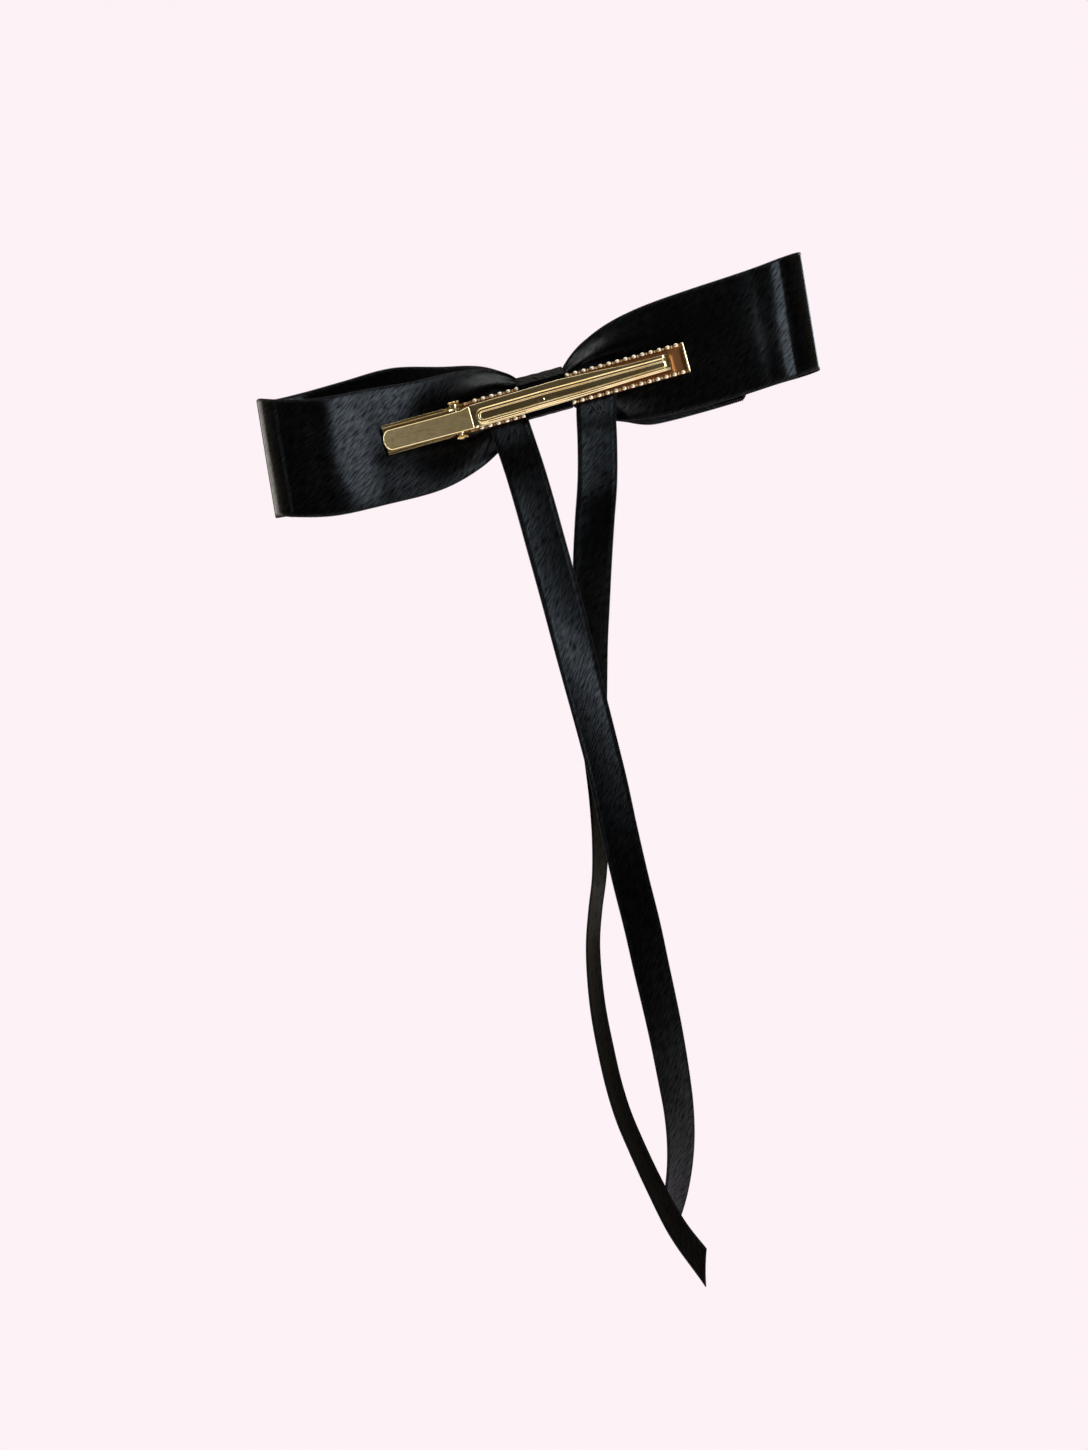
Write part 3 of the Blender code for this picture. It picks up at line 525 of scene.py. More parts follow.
def pattern_group(name):
    """The named shader group, built the first time it is asked for."""
    if name in bpy.data.node_groups:
        return bpy.data.node_groups[name]
    noises, outputs = PATTERNS[name]
    group, given, out = new_tree(
        name, "ShaderNodeTree", {"Vector": "Vector"}, dict.fromkeys(outputs, "Float"))
    vector = millimetres(group, given["Vector"])
    made = [stretched_noise(group, vector, *noise) for noise in noises]
    for label, source in outputs.items():
        if isinstance(source, tuple):
            first, second, share = source
            fill(group, out, {label: mixed_values(group, share, made[first], made[second])})
        else:
            fill(group, out, {label: made[source]})
    return group


def patterned(tree, name, vector):
    """Outputs of the named shader group, laid out on a vector."""
    return node_of(tree, "ShaderNodeGroup", {"Vector": vector}, node_tree=pattern_group(name)).outputs


def new_material(name):
    material = bpy.data.materials.new(name)
    material.use_nodes = True
    tree = material.node_tree
    return material, tree, tree.nodes["Principled BSDF"]


def colour_ramp(tree, factor, stops):
    ramp = node_of(tree, "ShaderNodeValToRGB", {"Fac": factor})
    for element, (place, colour) in zip(ramp.color_ramp.elements, stops):
        element.position = place
        element.color = (*colour, 1.0)
    return ramp.outputs["Color"]


def value_range(tree, factor, low, high, source=(0.3, 0.7)):
    remap = node_of(tree, "ShaderNodeMapRange", {
        "Value": factor, "From Min": source[0], "From Max": source[1], "To Min": low, "To Max": high})
    return remap.outputs["Result"]


def add_bump(tree, shader, height, distance):
    bump = node_of(tree, "ShaderNodeBump", {"Height": height, "Distance": distance, "Strength": 1.0})
    fill(tree, shader, {"Normal": bump.outputs["Normal"]})


def satin_material(name, finishes, roughness=(0.21, 0.27), gloss=(0.04, 0.32)):
    """Black satin that reads the ribbon's own lengths and its edge mask, glossier along the floats."""
    material, tree, shader = new_material(name)
    rim_roughness = 0.6
    uv = node_of(tree, "ShaderNodeUVMap", uv_map="cloth")
    rim = node_of(tree, "ShaderNodeAttribute", attribute_name="edge").outputs["Fac"]
    weave = patterned(tree, "satin weave", uv.outputs["UV"])
    body = colour_ramp(tree, weave["Float"], [(0.4, finishes.satin), (0.72, finishes.satin_lustre)])
    smooth = value_range(tree, weave["Lustre"], *roughness)
    along = node_of(tree, "ShaderNodeTangent", direction_type="UV_MAP", uv_map="cloth")
    fill(tree, shader, {
        "Base Color": mixed_colours(tree, rim, body, (*finishes.satin, 1.0)),
        "Roughness": mixed_values(tree, rim, smooth, rim_roughness),
        "Specular IOR Level": value_range(tree, weave["Float"], *gloss, (0.35, 0.65)),
        "Specular Tint": (0.86, 0.93, 1.0, 1.0), "Tangent": along.outputs["Tangent"],
        "Anisotropic": 0.9, "Anisotropic Rotation": 0.25})
    add_bump(tree, shader, weave["Height"], 0.0015 * MM)
    return material


def metal_material(name, bright, thin, roughness, bump, recess_painted_shade=None):
    """Plated or bare metal with thin spots, drawing lines and faint dimples, and a darker copper channel
    that is painted shade of the recess.
    """
    material, tree, shader = new_material(name)
    place = object_place(tree)
    wear = patterned(tree, "plating wear", place)
    tone = colour_ramp(tree, wear["Thin"], [(0.42, bright), (0.78, thin)])
    gloss = value_range(tree, wear["Lines"], *roughness)
    if recess_painted_shade:
        # Painted shade: ahead of the pin and deep between the walls, the colour turns a darker copper and
        # rougher, standing in for the channel's shade
        parts = node_of(tree, "ShaderNodeSeparateXYZ", {"Vector": place}).outputs
        deep = node_of(tree, "ShaderNodeMath", {
            0: value_range(tree, parts["Y"], 0.0, 1.0, recess_painted_shade["between"]),
            1: value_range(tree, parts["X"], 0.0, 1.0, recess_painted_shade["ahead_of"])},
            operation="MULTIPLY").outputs["Value"]
        tone = mixed_colours(tree, deep, tone, (*recess_painted_shade["colour"], 1.0))
        gloss = mixed_values(tree, deep, gloss, recess_painted_shade["roughness"])
    fill(tree, shader, {"Base Color": tone, "Roughness": gloss, "Metallic": 1.0})
    add_bump(tree, shader, wear["Height"], bump)
    return material


def thread_material(name, colour, roughness):
    """Twisted thread with paler fibres."""
    material, tree, shader = new_material(name)
    plies = patterned(tree, "thread plies", object_place(tree))
    pale = [min(1.0, 1.6 * c) for c in colour]
    fill(tree, shader, {
        "Base Color": colour_ramp(tree, plies["Fibre"], [(0.35, colour), (0.7, pale)]),
        "Roughness": value_range(tree, plies["Height"], roughness - 0.08, roughness + 0.08)})
    add_bump(tree, shader, plies["Height"], 0.04 * MM)
    return material


def glue_material(name, colour):
    """Cloudy set glue."""
    material, tree, shader = new_material(name)
    cloud = stretched_noise(tree, millimetres(tree, object_place(tree)), (1.2, 0.8, 1.0), 0.0, 3.0)
    cloudy = [0.82 * c for c in colour]
    fill(tree, shader, {
        "Base Color": colour_ramp(tree, cloud, [(0.35, colour), (0.75, cloudy)]),
        "Roughness": value_range(tree, cloud, 0.28, 0.5), "Subsurface Weight": 0.3,
        "Subsurface Radius": (1.0 * MM, 0.9 * MM, 0.7 * MM), "Subsurface Scale": 1.0})
    add_bump(tree, shader, cloud, 0.1 * MM)
    return material


def paint(obj, material):
    obj.data.materials.clear()
    obj.data.materials.append(material)
    return obj


def fixed_piece(obj, body, material, node=None):
    """Paints a piece, attaches it to one body, and hides the part of the frame it replaces."""
    paint(obj, material)
    if node:
        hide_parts(node)
    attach(obj, body)
    return obj


# ---------------------------------------------------------------- ribbon shapes


def half_height(distance, sizes):
    """Half of the gathered ribbon's height at a distance from the pinch."""
    full = sizes.bow_width / 2
    hidden = 0.3 * MM
    past_wrap = max(distance + hidden - (WRAP_HIGH.x - WRAP_LOW.x) / 2, 0.0)
    return full - (full - sizes.pinch_height) * math.exp(-past_wrap / sizes.flare)


def pleat_depth(distance, sizes):
    """Depth of the gathers: what keeps the ribbon's width along the folds, faded out with distance."""
    pinch_pleat, fade, rise = 0.55 * MM, 16.0 * MM, 4.0 * MM
    height = half_height(distance, sizes)
    spare = math.sqrt(max(height * (sizes.bow_width / 2 - height), 0.0)) / math.pi
    faded = spare / (1 + (distance / fade) ** 4)
    growth = smooth_step((distance - (WRAP_HIGH.x - WRAP_LOW.x) / 2) / rise)
    return pinch_pleat * (1 - growth) + faded * growth


def loop_route(side, reach, near_half, rise, sizes, near_y, middle_z):
    """One loop from the near layer out to the end and back along the far layer."""
    route = []
    near_one, near_two, far_one, far_two, end = rise
    count = len(near_half)
    for i, (share, depth) in enumerate(near_half):
        lift = near_one * min(i / 2, 1.0) + (near_two - near_one) * smooth_step((i - 2) / (count - 3))
        if i == count - 1:
            lift = (near_two + end) / 2
        route.append((share, depth, lift))
    route += [(share, depth, end) for share, depth in END_TURN]
    for i, (share, depth) in enumerate(FAR_HALF):
        lift = end + (far_two - end) * smooth_step(i / 2) if i < 3 else far_one
        route.append((share, depth, lift))
    return [
        Vector((
            BOW_CENTRE_X + side * share * reach, near_y + sizes.loop_depth * depth,
            middle_z + lift * MM))
        for share, depth, lift in route]


def bow_rows(sizes):
    """Rows of points across the bow's ribbon, from the lapped end round both loops and back."""
    middle_z, near_y, layer_step = 1.2 * MM, BASE_HIGH.y + 2.05 * MM, 1.2 * MM
    edge = (WRAP_HIGH.x - WRAP_LOW.x) / 2
    lap = edge - 0.3 * MM
    far_y, lap_y = near_y + 2 * layer_step, near_y + layer_step
    left = (-1.9, -0.7, 1.0, 2.6, 2.3)
    right = (0.2, 1.0, 0.5, 1.1, 1.9)
    route = [Vector((BOW_CENTRE_X + x, near_y, middle_z)) for x in (lap, 0.0, -edge)]
    route += loop_route(-1, sizes.left_reach, LEFT_NEAR, left, sizes, near_y, middle_z)
    route += [Vector((BOW_CENTRE_X + x, far_y, middle_z)) for x in (-edge, 0.0, edge)]
    route += reversed(loop_route(1, sizes.right_reach, RIGHT_NEAR, right, sizes, near_y, middle_z))
    route += [Vector((BOW_CENTRE_X + x, lap_y, middle_z)) for x in (edge, 0.0, -lap)]
    rows = []
    across = 41
    for middle in smooth_curve(route, 460):
        distance = abs(middle.x - BOW_CENTRE_X)
        height = half_height(distance, sizes)
        depth = pleat_depth(distance, sizes)
        lean = 0.107 * smooth_step((distance - 21.6 * MM) / (27.0 * MM))
        near = 1.0 - smooth_step((middle.y - near_y) / (5.0 * MM))
        side = -1.0 if middle.x < BOW_CENTRE_X else 1.0
        span = smooth_step((distance - edge) / (9 * MM))
        span *= 1 - smooth_step((distance - 14 * MM) / (30 * MM))
        twist = (0.85 if side < 0 else 0.0) * MM * span * near
        shoulder = (distance - edge) / ((4.0 if distance > edge else 1.2) * MM)
        shoulder = (1.0 if side < 0 else 0.2) * MM * math.exp(-shoulder * shoulder)
        crumple = 0.16 * MM * math.exp(-max(distance - edge, 0.0) / (7.0 * MM))
        far = smooth_step((middle.y - near_y - 0.6 * sizes.loop_depth) / (0.15 * sizes.loop_depth))
        crease = far * smooth_step((39.8 * MM - middle.x) / (0.9 * MM)) * (1 if side > 0 else 0)
        row = []
        for i in range(across):
            share = 2 * i / (across - 1) - 1
            fold = depth * math.cos(2 * math.pi * share)
            fold += crumple * math.sin(5.0 * math.pi * share + 240.0 * distance)
            fold += 0.12 * MM * math.sin(150.0 * middle.x + 2.2 * share) * smooth_step(distance / (20 * MM))
            row.append(Vector((
                middle.x + lean * height * share,
                middle.y + fold + twist * share,
                middle.z + height * share + shoulder * max(share, 0.0)
                - 0.9 * MM * crease * (0.5 - 0.5 * share) ** 6)))
        rows.append(row)
    return rows


def tail_rows(route, cut, width):
    """Centre line and rows of points across a tail, turned about its length, with a slanting end."""
    middle = [Vector((x * MM, TAIL_Y + y * MM, z * MM, turn * MM)) for x, z, y, turn in route]
    samples = smooth_curve(middle, 240)
    rows = []
    across, crown, flat_top, cut_rows = 9, 0.22 * MM, 30, 13
    for i, sample in enumerate(samples):
        before, after = samples[max(i - 1, 0)].xyz, samples[min(i + 1, len(samples) - 1)].xyz
        along = (after - before).normalized()
        flat = along.cross(Vector((0.0, 1.0, 0.0))).normalized()
        deep = flat.cross(along).normalized()
        turn = math.radians(sample.w / MM)
        side = flat * math.cos(turn) + deep * math.sin(turn)
        face = side.cross(along).normalized()
        near_end = smooth_step((i - len(samples) + cut_rows + 1) / cut_rows)
        row = []
        for k in range(across):
            share = 2 * k / (across - 1) - 1
            camber = crown * (1 - share * share) * smooth_step(i / flat_top)
            point = sample.xyz + side * (share * width / 2) + face * camber
            point += along * (near_end * share * width / 2 * math.tan(cut))
            row.append(point)
        rows.append(row)
    return [sample.xyz for sample in samples], rows


def wrap_rows():
    """Rows across the band that goes round the base jaw, the pinch and the thread."""
    low, high = WRAP_LOW, WRAP_HIGH
    inset = 0.125 * MM
    jaw_z = BASE_HIGH.z + 0.2 * MM + inset
    top_z, front_y = high.z - inset, high.y - inset
    shoulder_y = BASE_HIGH.y + 0.3 * MM
    corners = [
        (low.y + inset, -jaw_z), (low.y + inset, jaw_z), (shoulder_y + 0.5 * MM, top_z),
        (front_y, top_z), (front_y, 0.7 * MM - jaw_z), (shoulder_y, -jaw_z)]
    line = [Vector((0.0, y, z)) for y, z in rounded_loop(corners, 0.6 * MM, 8)]
    dense = even_samples(line + [line[0]], 160)[:-1]
    middle = sum(dense, Vector()) / len(dense)
    rows = []
    across = 37
    for n, point in enumerate(dense):
        outward = (point - middle).normalized()
        crossing = smooth_step((point.y - BASE_HIGH.y) / (2.0 * MM))
        row = []
        for i in range(across):
            share = 2 * i / (across - 1) - 1
            ripple = math.sin(3.5 * math.pi * share + 1.4 * math.sin(4 * math.pi * n / len(dense)))
            lift = (0.02 + 0.03 * crossing) * MM * ripple * (1 - 0.7 * share * share)
            x = BOW_CENTRE_X + share * (high.x - low.x) / 2 * (1 - 0.06 * crossing)
            tilt = 0.1 * MM * max(-share, 0.0) * smooth_step((point.z - jaw_z) / (top_z - jaw_z))
            row.append(Vector((x, 0.0, tilt)) + point + outward * max(lift, -0.05 * MM))
        rows.append(row)
    return rows


# ---------------------------------------------------------------- operators


def settings(context):
    scene = context.scene
    return scene.hair_clip_metal, scene.hair_clip_ribbon, scene.hair_clip_finishes


def add_selvedge(name, rows, closed, material, sizes):
    """The woven edges along both sides of a ribbon; an open ribbon's stop short of its ends."""
    lines = [[row[side] for row in rows] for side in (0, -1)]
    lines = [line + [line[0]] if closed else line[1:-1] for line in lines]
    edge = beads_along(name, lines, {
        "Spacing": sizes.bead_spacing, "Bead Length": 0.92 * sizes.bead_spacing,
        "Bead Width": sizes.bead_width, "Twist": 0.0, "Material": material})
    return fixed_piece(edge, CLIP, material)


def edge_material(finishes):
    """The bound weft turns along a ribbon's edge."""
    found = bpy.data.materials.get("ribbon edge")
    return found or thread_material("ribbon edge", finishes.satin_lustre, 0.55)


class HAIRCLIP_OT_stage(bpy.types.Operator):
    """Camera, soft lights and plain surround"""

    bl_idname = "hairclip.stage"
    bl_label = "Stage"

    def execute(self, context):
        finishes = settings(context)[2]
        self.camera(context)
        self.surround(context, finishes)
        self.floor(context, finishes)
        self.lights()
        return {"FINISHED"}

    def camera(self, context):
        roll, distance, view_height = math.radians(15.4), 0.55, 0.2736
        data = bpy.data.cameras.new("camera")
        data.sensor_width = 36.0
        data.lens = data.sensor_width * distance / view_height
        data.clip_start, data.clip_end = 0.01, 20.0
        camera = link_object("camera", data)
        right = Vector((math.cos(roll), 0.0, -math.sin(roll)))
        up = Vector((math.sin(roll), 0.0, math.cos(roll)))
        turned = Matrix((right, up, right.cross(up))).transposed().to_4x4()
        camera.matrix_world = Matrix.Translation((-0.0158, -distance, -0.0597)) @ turned
        context.scene.camera = camera
        context.scene.view_settings.view_transform = "Standard"

    def surround(self, context, finishes):
        """A plain backdrop, and a dim warm room with a bright ceiling for the gloss."""
        world = bpy.data.worlds.new("studio")
        context.scene.world = world
        world.use_nodes = True
        tree = world.node_tree
        backdrop = tree.nodes["Background"]
        fill(tree, backdrop, {"Color": (*finishes.backdrop, 1.0)})
        direction = node_of(tree, "ShaderNodeTexCoord").outputs["Generated"]
        split = node_of(tree, "ShaderNodeSeparateXYZ", {"Vector": direction}).outputs
        levels = node_of(tree, "ShaderNodeValToRGB", {
            "Fac": value_range(tree, split["Z"], 0.0, 1.0, (-1.0, 1.0))})
        stops = [
            (0.0, 1.0), (0.2, 0.9), (0.37, 0.1), (0.45, 0.05), (0.56, 0.05), (0.68, 0.13),
            (0.86, 0.25), (0.97, 1.0)]
        elements = levels.color_ramp.elements
        elements.remove(elements[1])
        for i, (place, value) in enumerate(stops):
            element = elements.new(place) if i else elements[0]
            element.position = place
            warmth = 1.0 - value
            element.color = (value, (1 - 0.16 * warmth) * value, (1 - 0.4 * warmth) * value, 1.0)
        room = node_of(tree, "ShaderNodeBackground", {
            "Color": levels.outputs["Color"],
            "Strength": value_range(tree, split["Y"], 0.9, 2.0, (-0.6, 0.8))})
        rays = node_of(tree, "ShaderNodeLightPath")
        mix = node_of(tree, "ShaderNodeMixShader", {
            "Fac": rays.outputs["Is Camera Ray"], 1: room.outputs["Background"],
            2: backdrop.outputs["Background"]})
        fill(tree, tree.nodes["World Output"], {"Surface": mix.outputs["Shader"]})

    def floor(self, context, finishes):
        """A plain pale floor, far enough below that it only closes the surround."""
        builder = bmesh.new()
        bmesh.ops.create_circle(builder, cap_ends=True, segments=96, radius=0.6)
        bmesh.ops.translate(builder, vec=(0.0, 0.0, -0.46), verts=builder.verts)
        floor = mesh_from(builder, "floor")
        material, tree, shader = new_material("floor")
        fill(tree, shader, {
            "Base Color": (0.0, 0.0, 0.0, 1.0), "Specular IOR Level": 0.0,
            "Emission Color": (*finishes.backdrop, 1.0), "Emission Strength": 1.0})
        floor.data.materials.append(material)

    def lights(self):
        centre = (0.0, 0.0, -0.03)
        day, warm = (0.86, 0.93, 1.0), (1.0, 0.95, 0.87)
        for name, place, target, size, power, colour in (
                ("window", (0.34, -0.84, 0.1), centre, (0.27, 0.5), 2.7, day),
                ("wall", (0.63, -0.75, 0.08), centre, (0.3, 0.6), 0.07, warm),
                ("ceiling", (0.0, -0.05, 0.85), centre, (0.7, 0.4), 1.2, warm),
                ("left card", (-0.85, -0.3, 0.1), centre, (0.3, 0.5), 0.2, day),
                ("low card", (0.05, -0.32, -0.4), (0.0, 0.0, 0.0), (0.6, 0.16), 0.4, warm),
                ("back window", (0.4, 0.75, 0.25), centre, (0.4, 0.5), 1.6, day),
                ("back card", (-0.55, 0.6, 0.05), centre, (0.3, 0.5), 0.8, warm)):
            light = bpy.data.lights.new(name, "AREA")
            light.shape = "RECTANGLE"
            light.size, light.size_y = size
            light.energy, light.color = power, colour
            lamp = link_object(name, light)
            lamp.location = place
            lamp.rotation_euler = (Vector(target) - Vector(place)).to_track_quat("-Z", "Y").to_euler()
            lamp.visible_camera = False


class HAIRCLIP_OT_tails(bpy.types.Operator):
    """The two hanging ribbon tails with their woven edges"""

    bl_idname = "hairclip.tails"
    bl_label = "Tails"

    def execute(self, context):
        _, sizes, finishes = settings(context)
        satin = satin_material("tail satin", finishes)
        for name, route, slant in (("tail_left", LEFT_TAIL, 1), ("tail_right", RIGHT_TAIL, -0.85)):
            path, rows = tail_rows(route, sizes.tail_cut * slant, sizes.tail_width)
            tail = thicken(grid_object(f"{name}_ribbon", rows), sizes.thickness)
            fixed_piece(tail, CLIP, satin, name)
            edge = add_selvedge(f"{name}_selvedge", rows, False, edge_material(finishes), sizes)
        return {"FINISHED"}


class HAIRCLIP_OT_bow(bpy.types.Operator):
    """The wide ribbon folded into two loops"""

    bl_idname = "hairclip.bow"
    bl_label = "Bow"

    def execute(self, context):
        _, sizes, finishes = settings(context)
        rows = bow_rows(sizes)
        bow = thicken(grid_object("bow_loops", rows), sizes.thickness)
        fixed_piece(bow, CLIP, satin_material("bow satin", finishes), "bow_ribbon")
        edge = add_selvedge("bow_selvedge", rows, False, edge_material(finishes), sizes)
        return {"FINISHED"}


class HAIRCLIP_OT_wrap(bpy.types.Operator):
    """The ribbon band round the pinch and the base jaw"""

    bl_idname = "hairclip.wrap"
    bl_label = "Centre Wrap"

    def execute(self, context):
        _, sizes, finishes = settings(context)
        rows = wrap_rows()
        wrap = thicken(grid_object("wrap_band", rows, closed=True), sizes.thickness)
        satin = satin_material("wrap satin", finishes, (0.3, 0.38), (0.0, 0.06))
        fixed_piece(wrap, CLIP, satin, "centre_wrap")
        add_selvedge("wrap_selvedge", rows, True, edge_material(finishes), sizes)
        return {"FINISHED"}


class HAIRCLIP_OT_threads(bpy.types.Operator):
    """Binding thread under the wrap and the pale tacking stitches"""

    bl_idname = "hairclip.threads"
    bl_label = "Threads"

    def execute(self, context):
        _, sizes, finishes = settings(context)
        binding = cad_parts["binding_thread"]
        paint(binding, thread_material("binding thread", finishes.thread, 0.6))
        proud_of_tail = 0.88 * MM
        line = smooth_curve([
            Vector((x * MM, TAIL_Y - proud_of_tail, z * MM)) for x, z in TACK_ZIGZAG], 60)
        pale = thread_material("tacking thread", finishes.pale_thread, 0.5)
        stitches = beads_along("tack_stitches", [line], {
            "Spacing": 0.16 * MM, "Bead Length": 0.34 * MM, "Bead Width": 0.17 * MM,
            "Twist": math.radians(32.0), "Material": pale})
        fixed_piece(stitches, CLIP, pale, "tack_thread")
        return {"FINISHED"}


class HAIRCLIP_OT_base_jaw(bpy.types.Operator):
    """The stamped channel with its two rows of rounded teeth"""

    bl_idname = "hairclip.base_jaw"
    bl_label = "Base Jaw"

    def execute(self, context):
        metal, _, finishes = settings(context)
        # Base gold with painted shade: a darker copper deep in the channel ahead of the pin
        gold = metal_material(
            "base gold", finishes.gold, finishes.deep_gold, (0.14, 0.26), 0.004 * MM,
            recess_painted_shade={
                "between": (-0.15 * MM, 0.5 * MM), "ahead_of": (PIN_X - 2.0 * MM, PIN_X),
                "colour": finishes.channel_painted_shade, "roughness": 0.36})
        # Painted highlight: the teeth take a near-white gold that stands in for the glints on their rounded
        # tips
        painted_glint = metal_material("rubbed gold", finishes.tooth_painted_glint, finishes.gold, (0.34, 0.44), 0.002 * MM)
        offset = Matrix.Translation((0.0, 0.0, 0.12 * MM))
        shell = rounded_copy("base_channel", "base_jaw", metal.edge_bevel)
        shell.data.transform(offset)
        fixed_piece(shell, CLIP, gold, "base_jaw")
        builder = bmesh.new()
        bmesh.ops.create_uvsphere(builder, u_segments=12, v_segments=8, radius=0.5)
        bmesh.ops.scale(builder, vec=(1.0 * MM, 0.42 * MM, 0.72 * MM), verts=builder.verts)
        teeth = grown(mesh_from(builder, "base_teeth", 180.0), two_rows_tree(), {
            "Count": metal.tooth_count, "Pitch": metal.tooth_pitch, "Start X": BASE_HIGH.x - 1.375 * MM,
            "Row Y": -0.31 * MM, "Half Spacing": BASE_HIGH.z - 0.22 * MM, "Material": painted_glint})
        teeth.data.transform(offset)
        fixed_piece(teeth, CLIP, painted_glint)
        return {"FINISHED"}


class HAIRCLIP_OT_lever(bpy.types.Operator):
    """The lever jaw: thumb tab, raised racetrack rail, turned-down tip and hinge ears"""

    bl_idname = "hairclip.lever"
    bl_label = "Lever Jaw"

    def execute(self, context):
        metal, _, finishes = settings(context)
        self.metal = metal
        self.sheet = metal.lever_sheet
        self.bend_x = PIN_X + metal.bend_ahead
        self.tip_x = LEVER_HIGH.x
        self.outer_y = PIN_Y - 0.4 * MM - self.sheet
        self.half = (LEVER_HIGH.z - LEVER_LOW.z) / 2
        gold = metal_material("lever gold", finishes.gold, finishes.deep_gold, (0.09, 0.14), 0.0008 * MM)
        plate = thicken(self.plate(), self.sheet, offset=-1.0)
        fixed_piece(plate, LEVER, gold, "lever_jaw")
        fixed_piece(self.ears(), LEVER, gold)
        return {"FINISHED"}

    def outer_line(self):
        """The outer face seen edge on, from the tab's end to the end of the turned-down tip."""
        angle, bend_radius, tip_radius, drop = self.metal.tab_angle, 0.35 * MM, 1.6 * MM, 0.95 * MM
        setback = bend_radius * math.tan(angle / 2)
        tab = Vector((-math.cos(angle), -math.sin(angle)))
        corner = Vector((self.bend_x, self.outer_y))
        line = [corner + tab * self.metal.tab_length, corner + tab * setback]
        turn = arc(
            corner.x + setback, corner.y - bend_radius, bend_radius,
            math.pi / 2 + angle, math.pi / 2, 8)
        line += turn[1:]
        line += [Vector((x * MM, self.outer_y)) for x in range(-12, 24)]
        line += arc(
            self.tip_x - tip_radius, self.outer_y + tip_radius, tip_radius, -math.pi / 2, 0.0, 10)
        line.append(Vector((self.tip_x, self.outer_y + tip_radius + drop)))
        return line

    def edges(self, from_end, to_tip, x):
        """Lower and upper edge of the sheet, with round corners at the tab's end and at the tip."""
        low, high = read_line(LEVER_BOTTOM_EDGE, x), read_line(LEVER_TOP_EDGE, x)
        for reach, radius in ((from_end, self.metal.tab_corner), (to_tip, 0.8 * MM)):
            if reach < radius:
                inside = radius - reach
                inset = radius - math.sqrt(radius * radius - inside * inside)
                low, high = low + inset, high - inset
        return low, high

    def rails(self, x):
        """Middle of the racetrack and half the distance between its rails."""
        return read_line(RAIL_MIDDLE, x), self.metal.rail_spacing * read_line(RAIL_SHARE, x) / MM

    def columns(self, x, low, high):
        """Places across the lever, closer together along both rails."""
        centre, spacing = self.rails(x)
        reach = 0.5 * MM
        stops = [
            (low, 8), (max(centre - spacing - reach, low + 0.05 * MM), 14),
            (centre - spacing + reach, 10), (centre + spacing - reach, 14),
            (min(centre + spacing + reach, high - 0.05 * MM), 10)]
        places = []
        for (start, count), (end, _) in zip(stops, stops[1:] + [(high, 0)]):
            places += [start + (end - start) * i / count for i in range(count)]
        places.append(high)
        on_jaw = smooth_step((x - self.bend_x) / MM)
        last = len(places) - 1
        return [
            place * on_jaw + (low + (high - low) * i / last) * (1 - on_jaw)
            for i, place in enumerate(places)]

    def surface_lift(self, x, z, low, high):
        """Height of the rails over the plate, with sloping margins, rolled edges and small dents."""
        start_x, end_x = self.bend_x + 2.3 * MM, self.tip_x - 1.7 * MM
        centre, spacing = self.rails(x)
        lift = 0.0
        if x > self.bend_x:
            if x < start_x:
                distance = abs(math.hypot(x - start_x, z - centre) - spacing)
            else:
                distance = math.hypot(abs(z - centre) - spacing, max(x - end_x, 0.0))
            top, foot = 0.18 * MM, 0.4 * MM
            lift += self.metal.rail_height * (1 - smooth_step((distance - top) / (foot - top)))
            slope_in = smooth_step((x - self.bend_x) / (2 * MM))
            lift -= 0.04 * slope_in * max(z - centre - spacing, 0.0)
            lift -= 0.34 * slope_in * max(centre - spacing - z, 0.0)
            for dent_x, dent_z, depth in LEVER_DENTS:
                away = math.hypot(x - dent_x * MM, z - dent_z * MM) / (0.2 * MM)
                lift -= depth * MM * math.exp(-away * away)
        rolled = 0.22 * MM
        edge = max(rolled - min(z - low, high - z), 0.0) / rolled
        roll = 0.12 if x < self.bend_x else 0.0
        return lift - roll * MM * edge * edge

    def plate(self):
        line = self.outer_line()
        dense = []
        for a, b in zip(line, line[1:]):
            steps = max(int((b - a).length / (0.05 * MM)), 1)
            dense += [a.lerp(b, i / steps) for i in range(steps)]
        dense.append(line[-1])
        reach = [0.0]
        for a, b in zip(dense, dense[1:]):
            reach.append(reach[-1] + (b - a).length)
        rows = []
        kept = -1.0
        for i, (point, along) in enumerate(zip(dense, reach)):
            fine = (
                self.bend_x - MM < point.x < self.bend_x + 4 * MM or point.x > self.tip_x - 3 * MM
                or -1.2 * MM < point.x < 3.8 * MM or along < 1.7 * MM)
            least_step = (0.09 if fine else 0.4) * MM
            if 0 < i < len(dense) - 1 and along - kept < least_step:
                continue
            kept = along
            before, after = dense[max(i - 1, 0)], dense[min(i + 1, len(dense) - 1)]
            forward = (after - before).normalized()
            outward = Vector((forward.y, -forward.x))
            low, high = self.edges(along, reach[-1] - along, point.x)
            row = []
            for z in self.columns(point.x, low, high):
                place = point + outward * self.surface_lift(point.x, z, low, high)
                row.append(Vector((place.x, place.y, z)))
            rows.append(row)
        plate = grid_object("lever_plate", rows)
        if plate.data.polygons[len(plate.data.polygons) // 2].normal.y > 0:
            plate.data.flip_normals()
        return plate

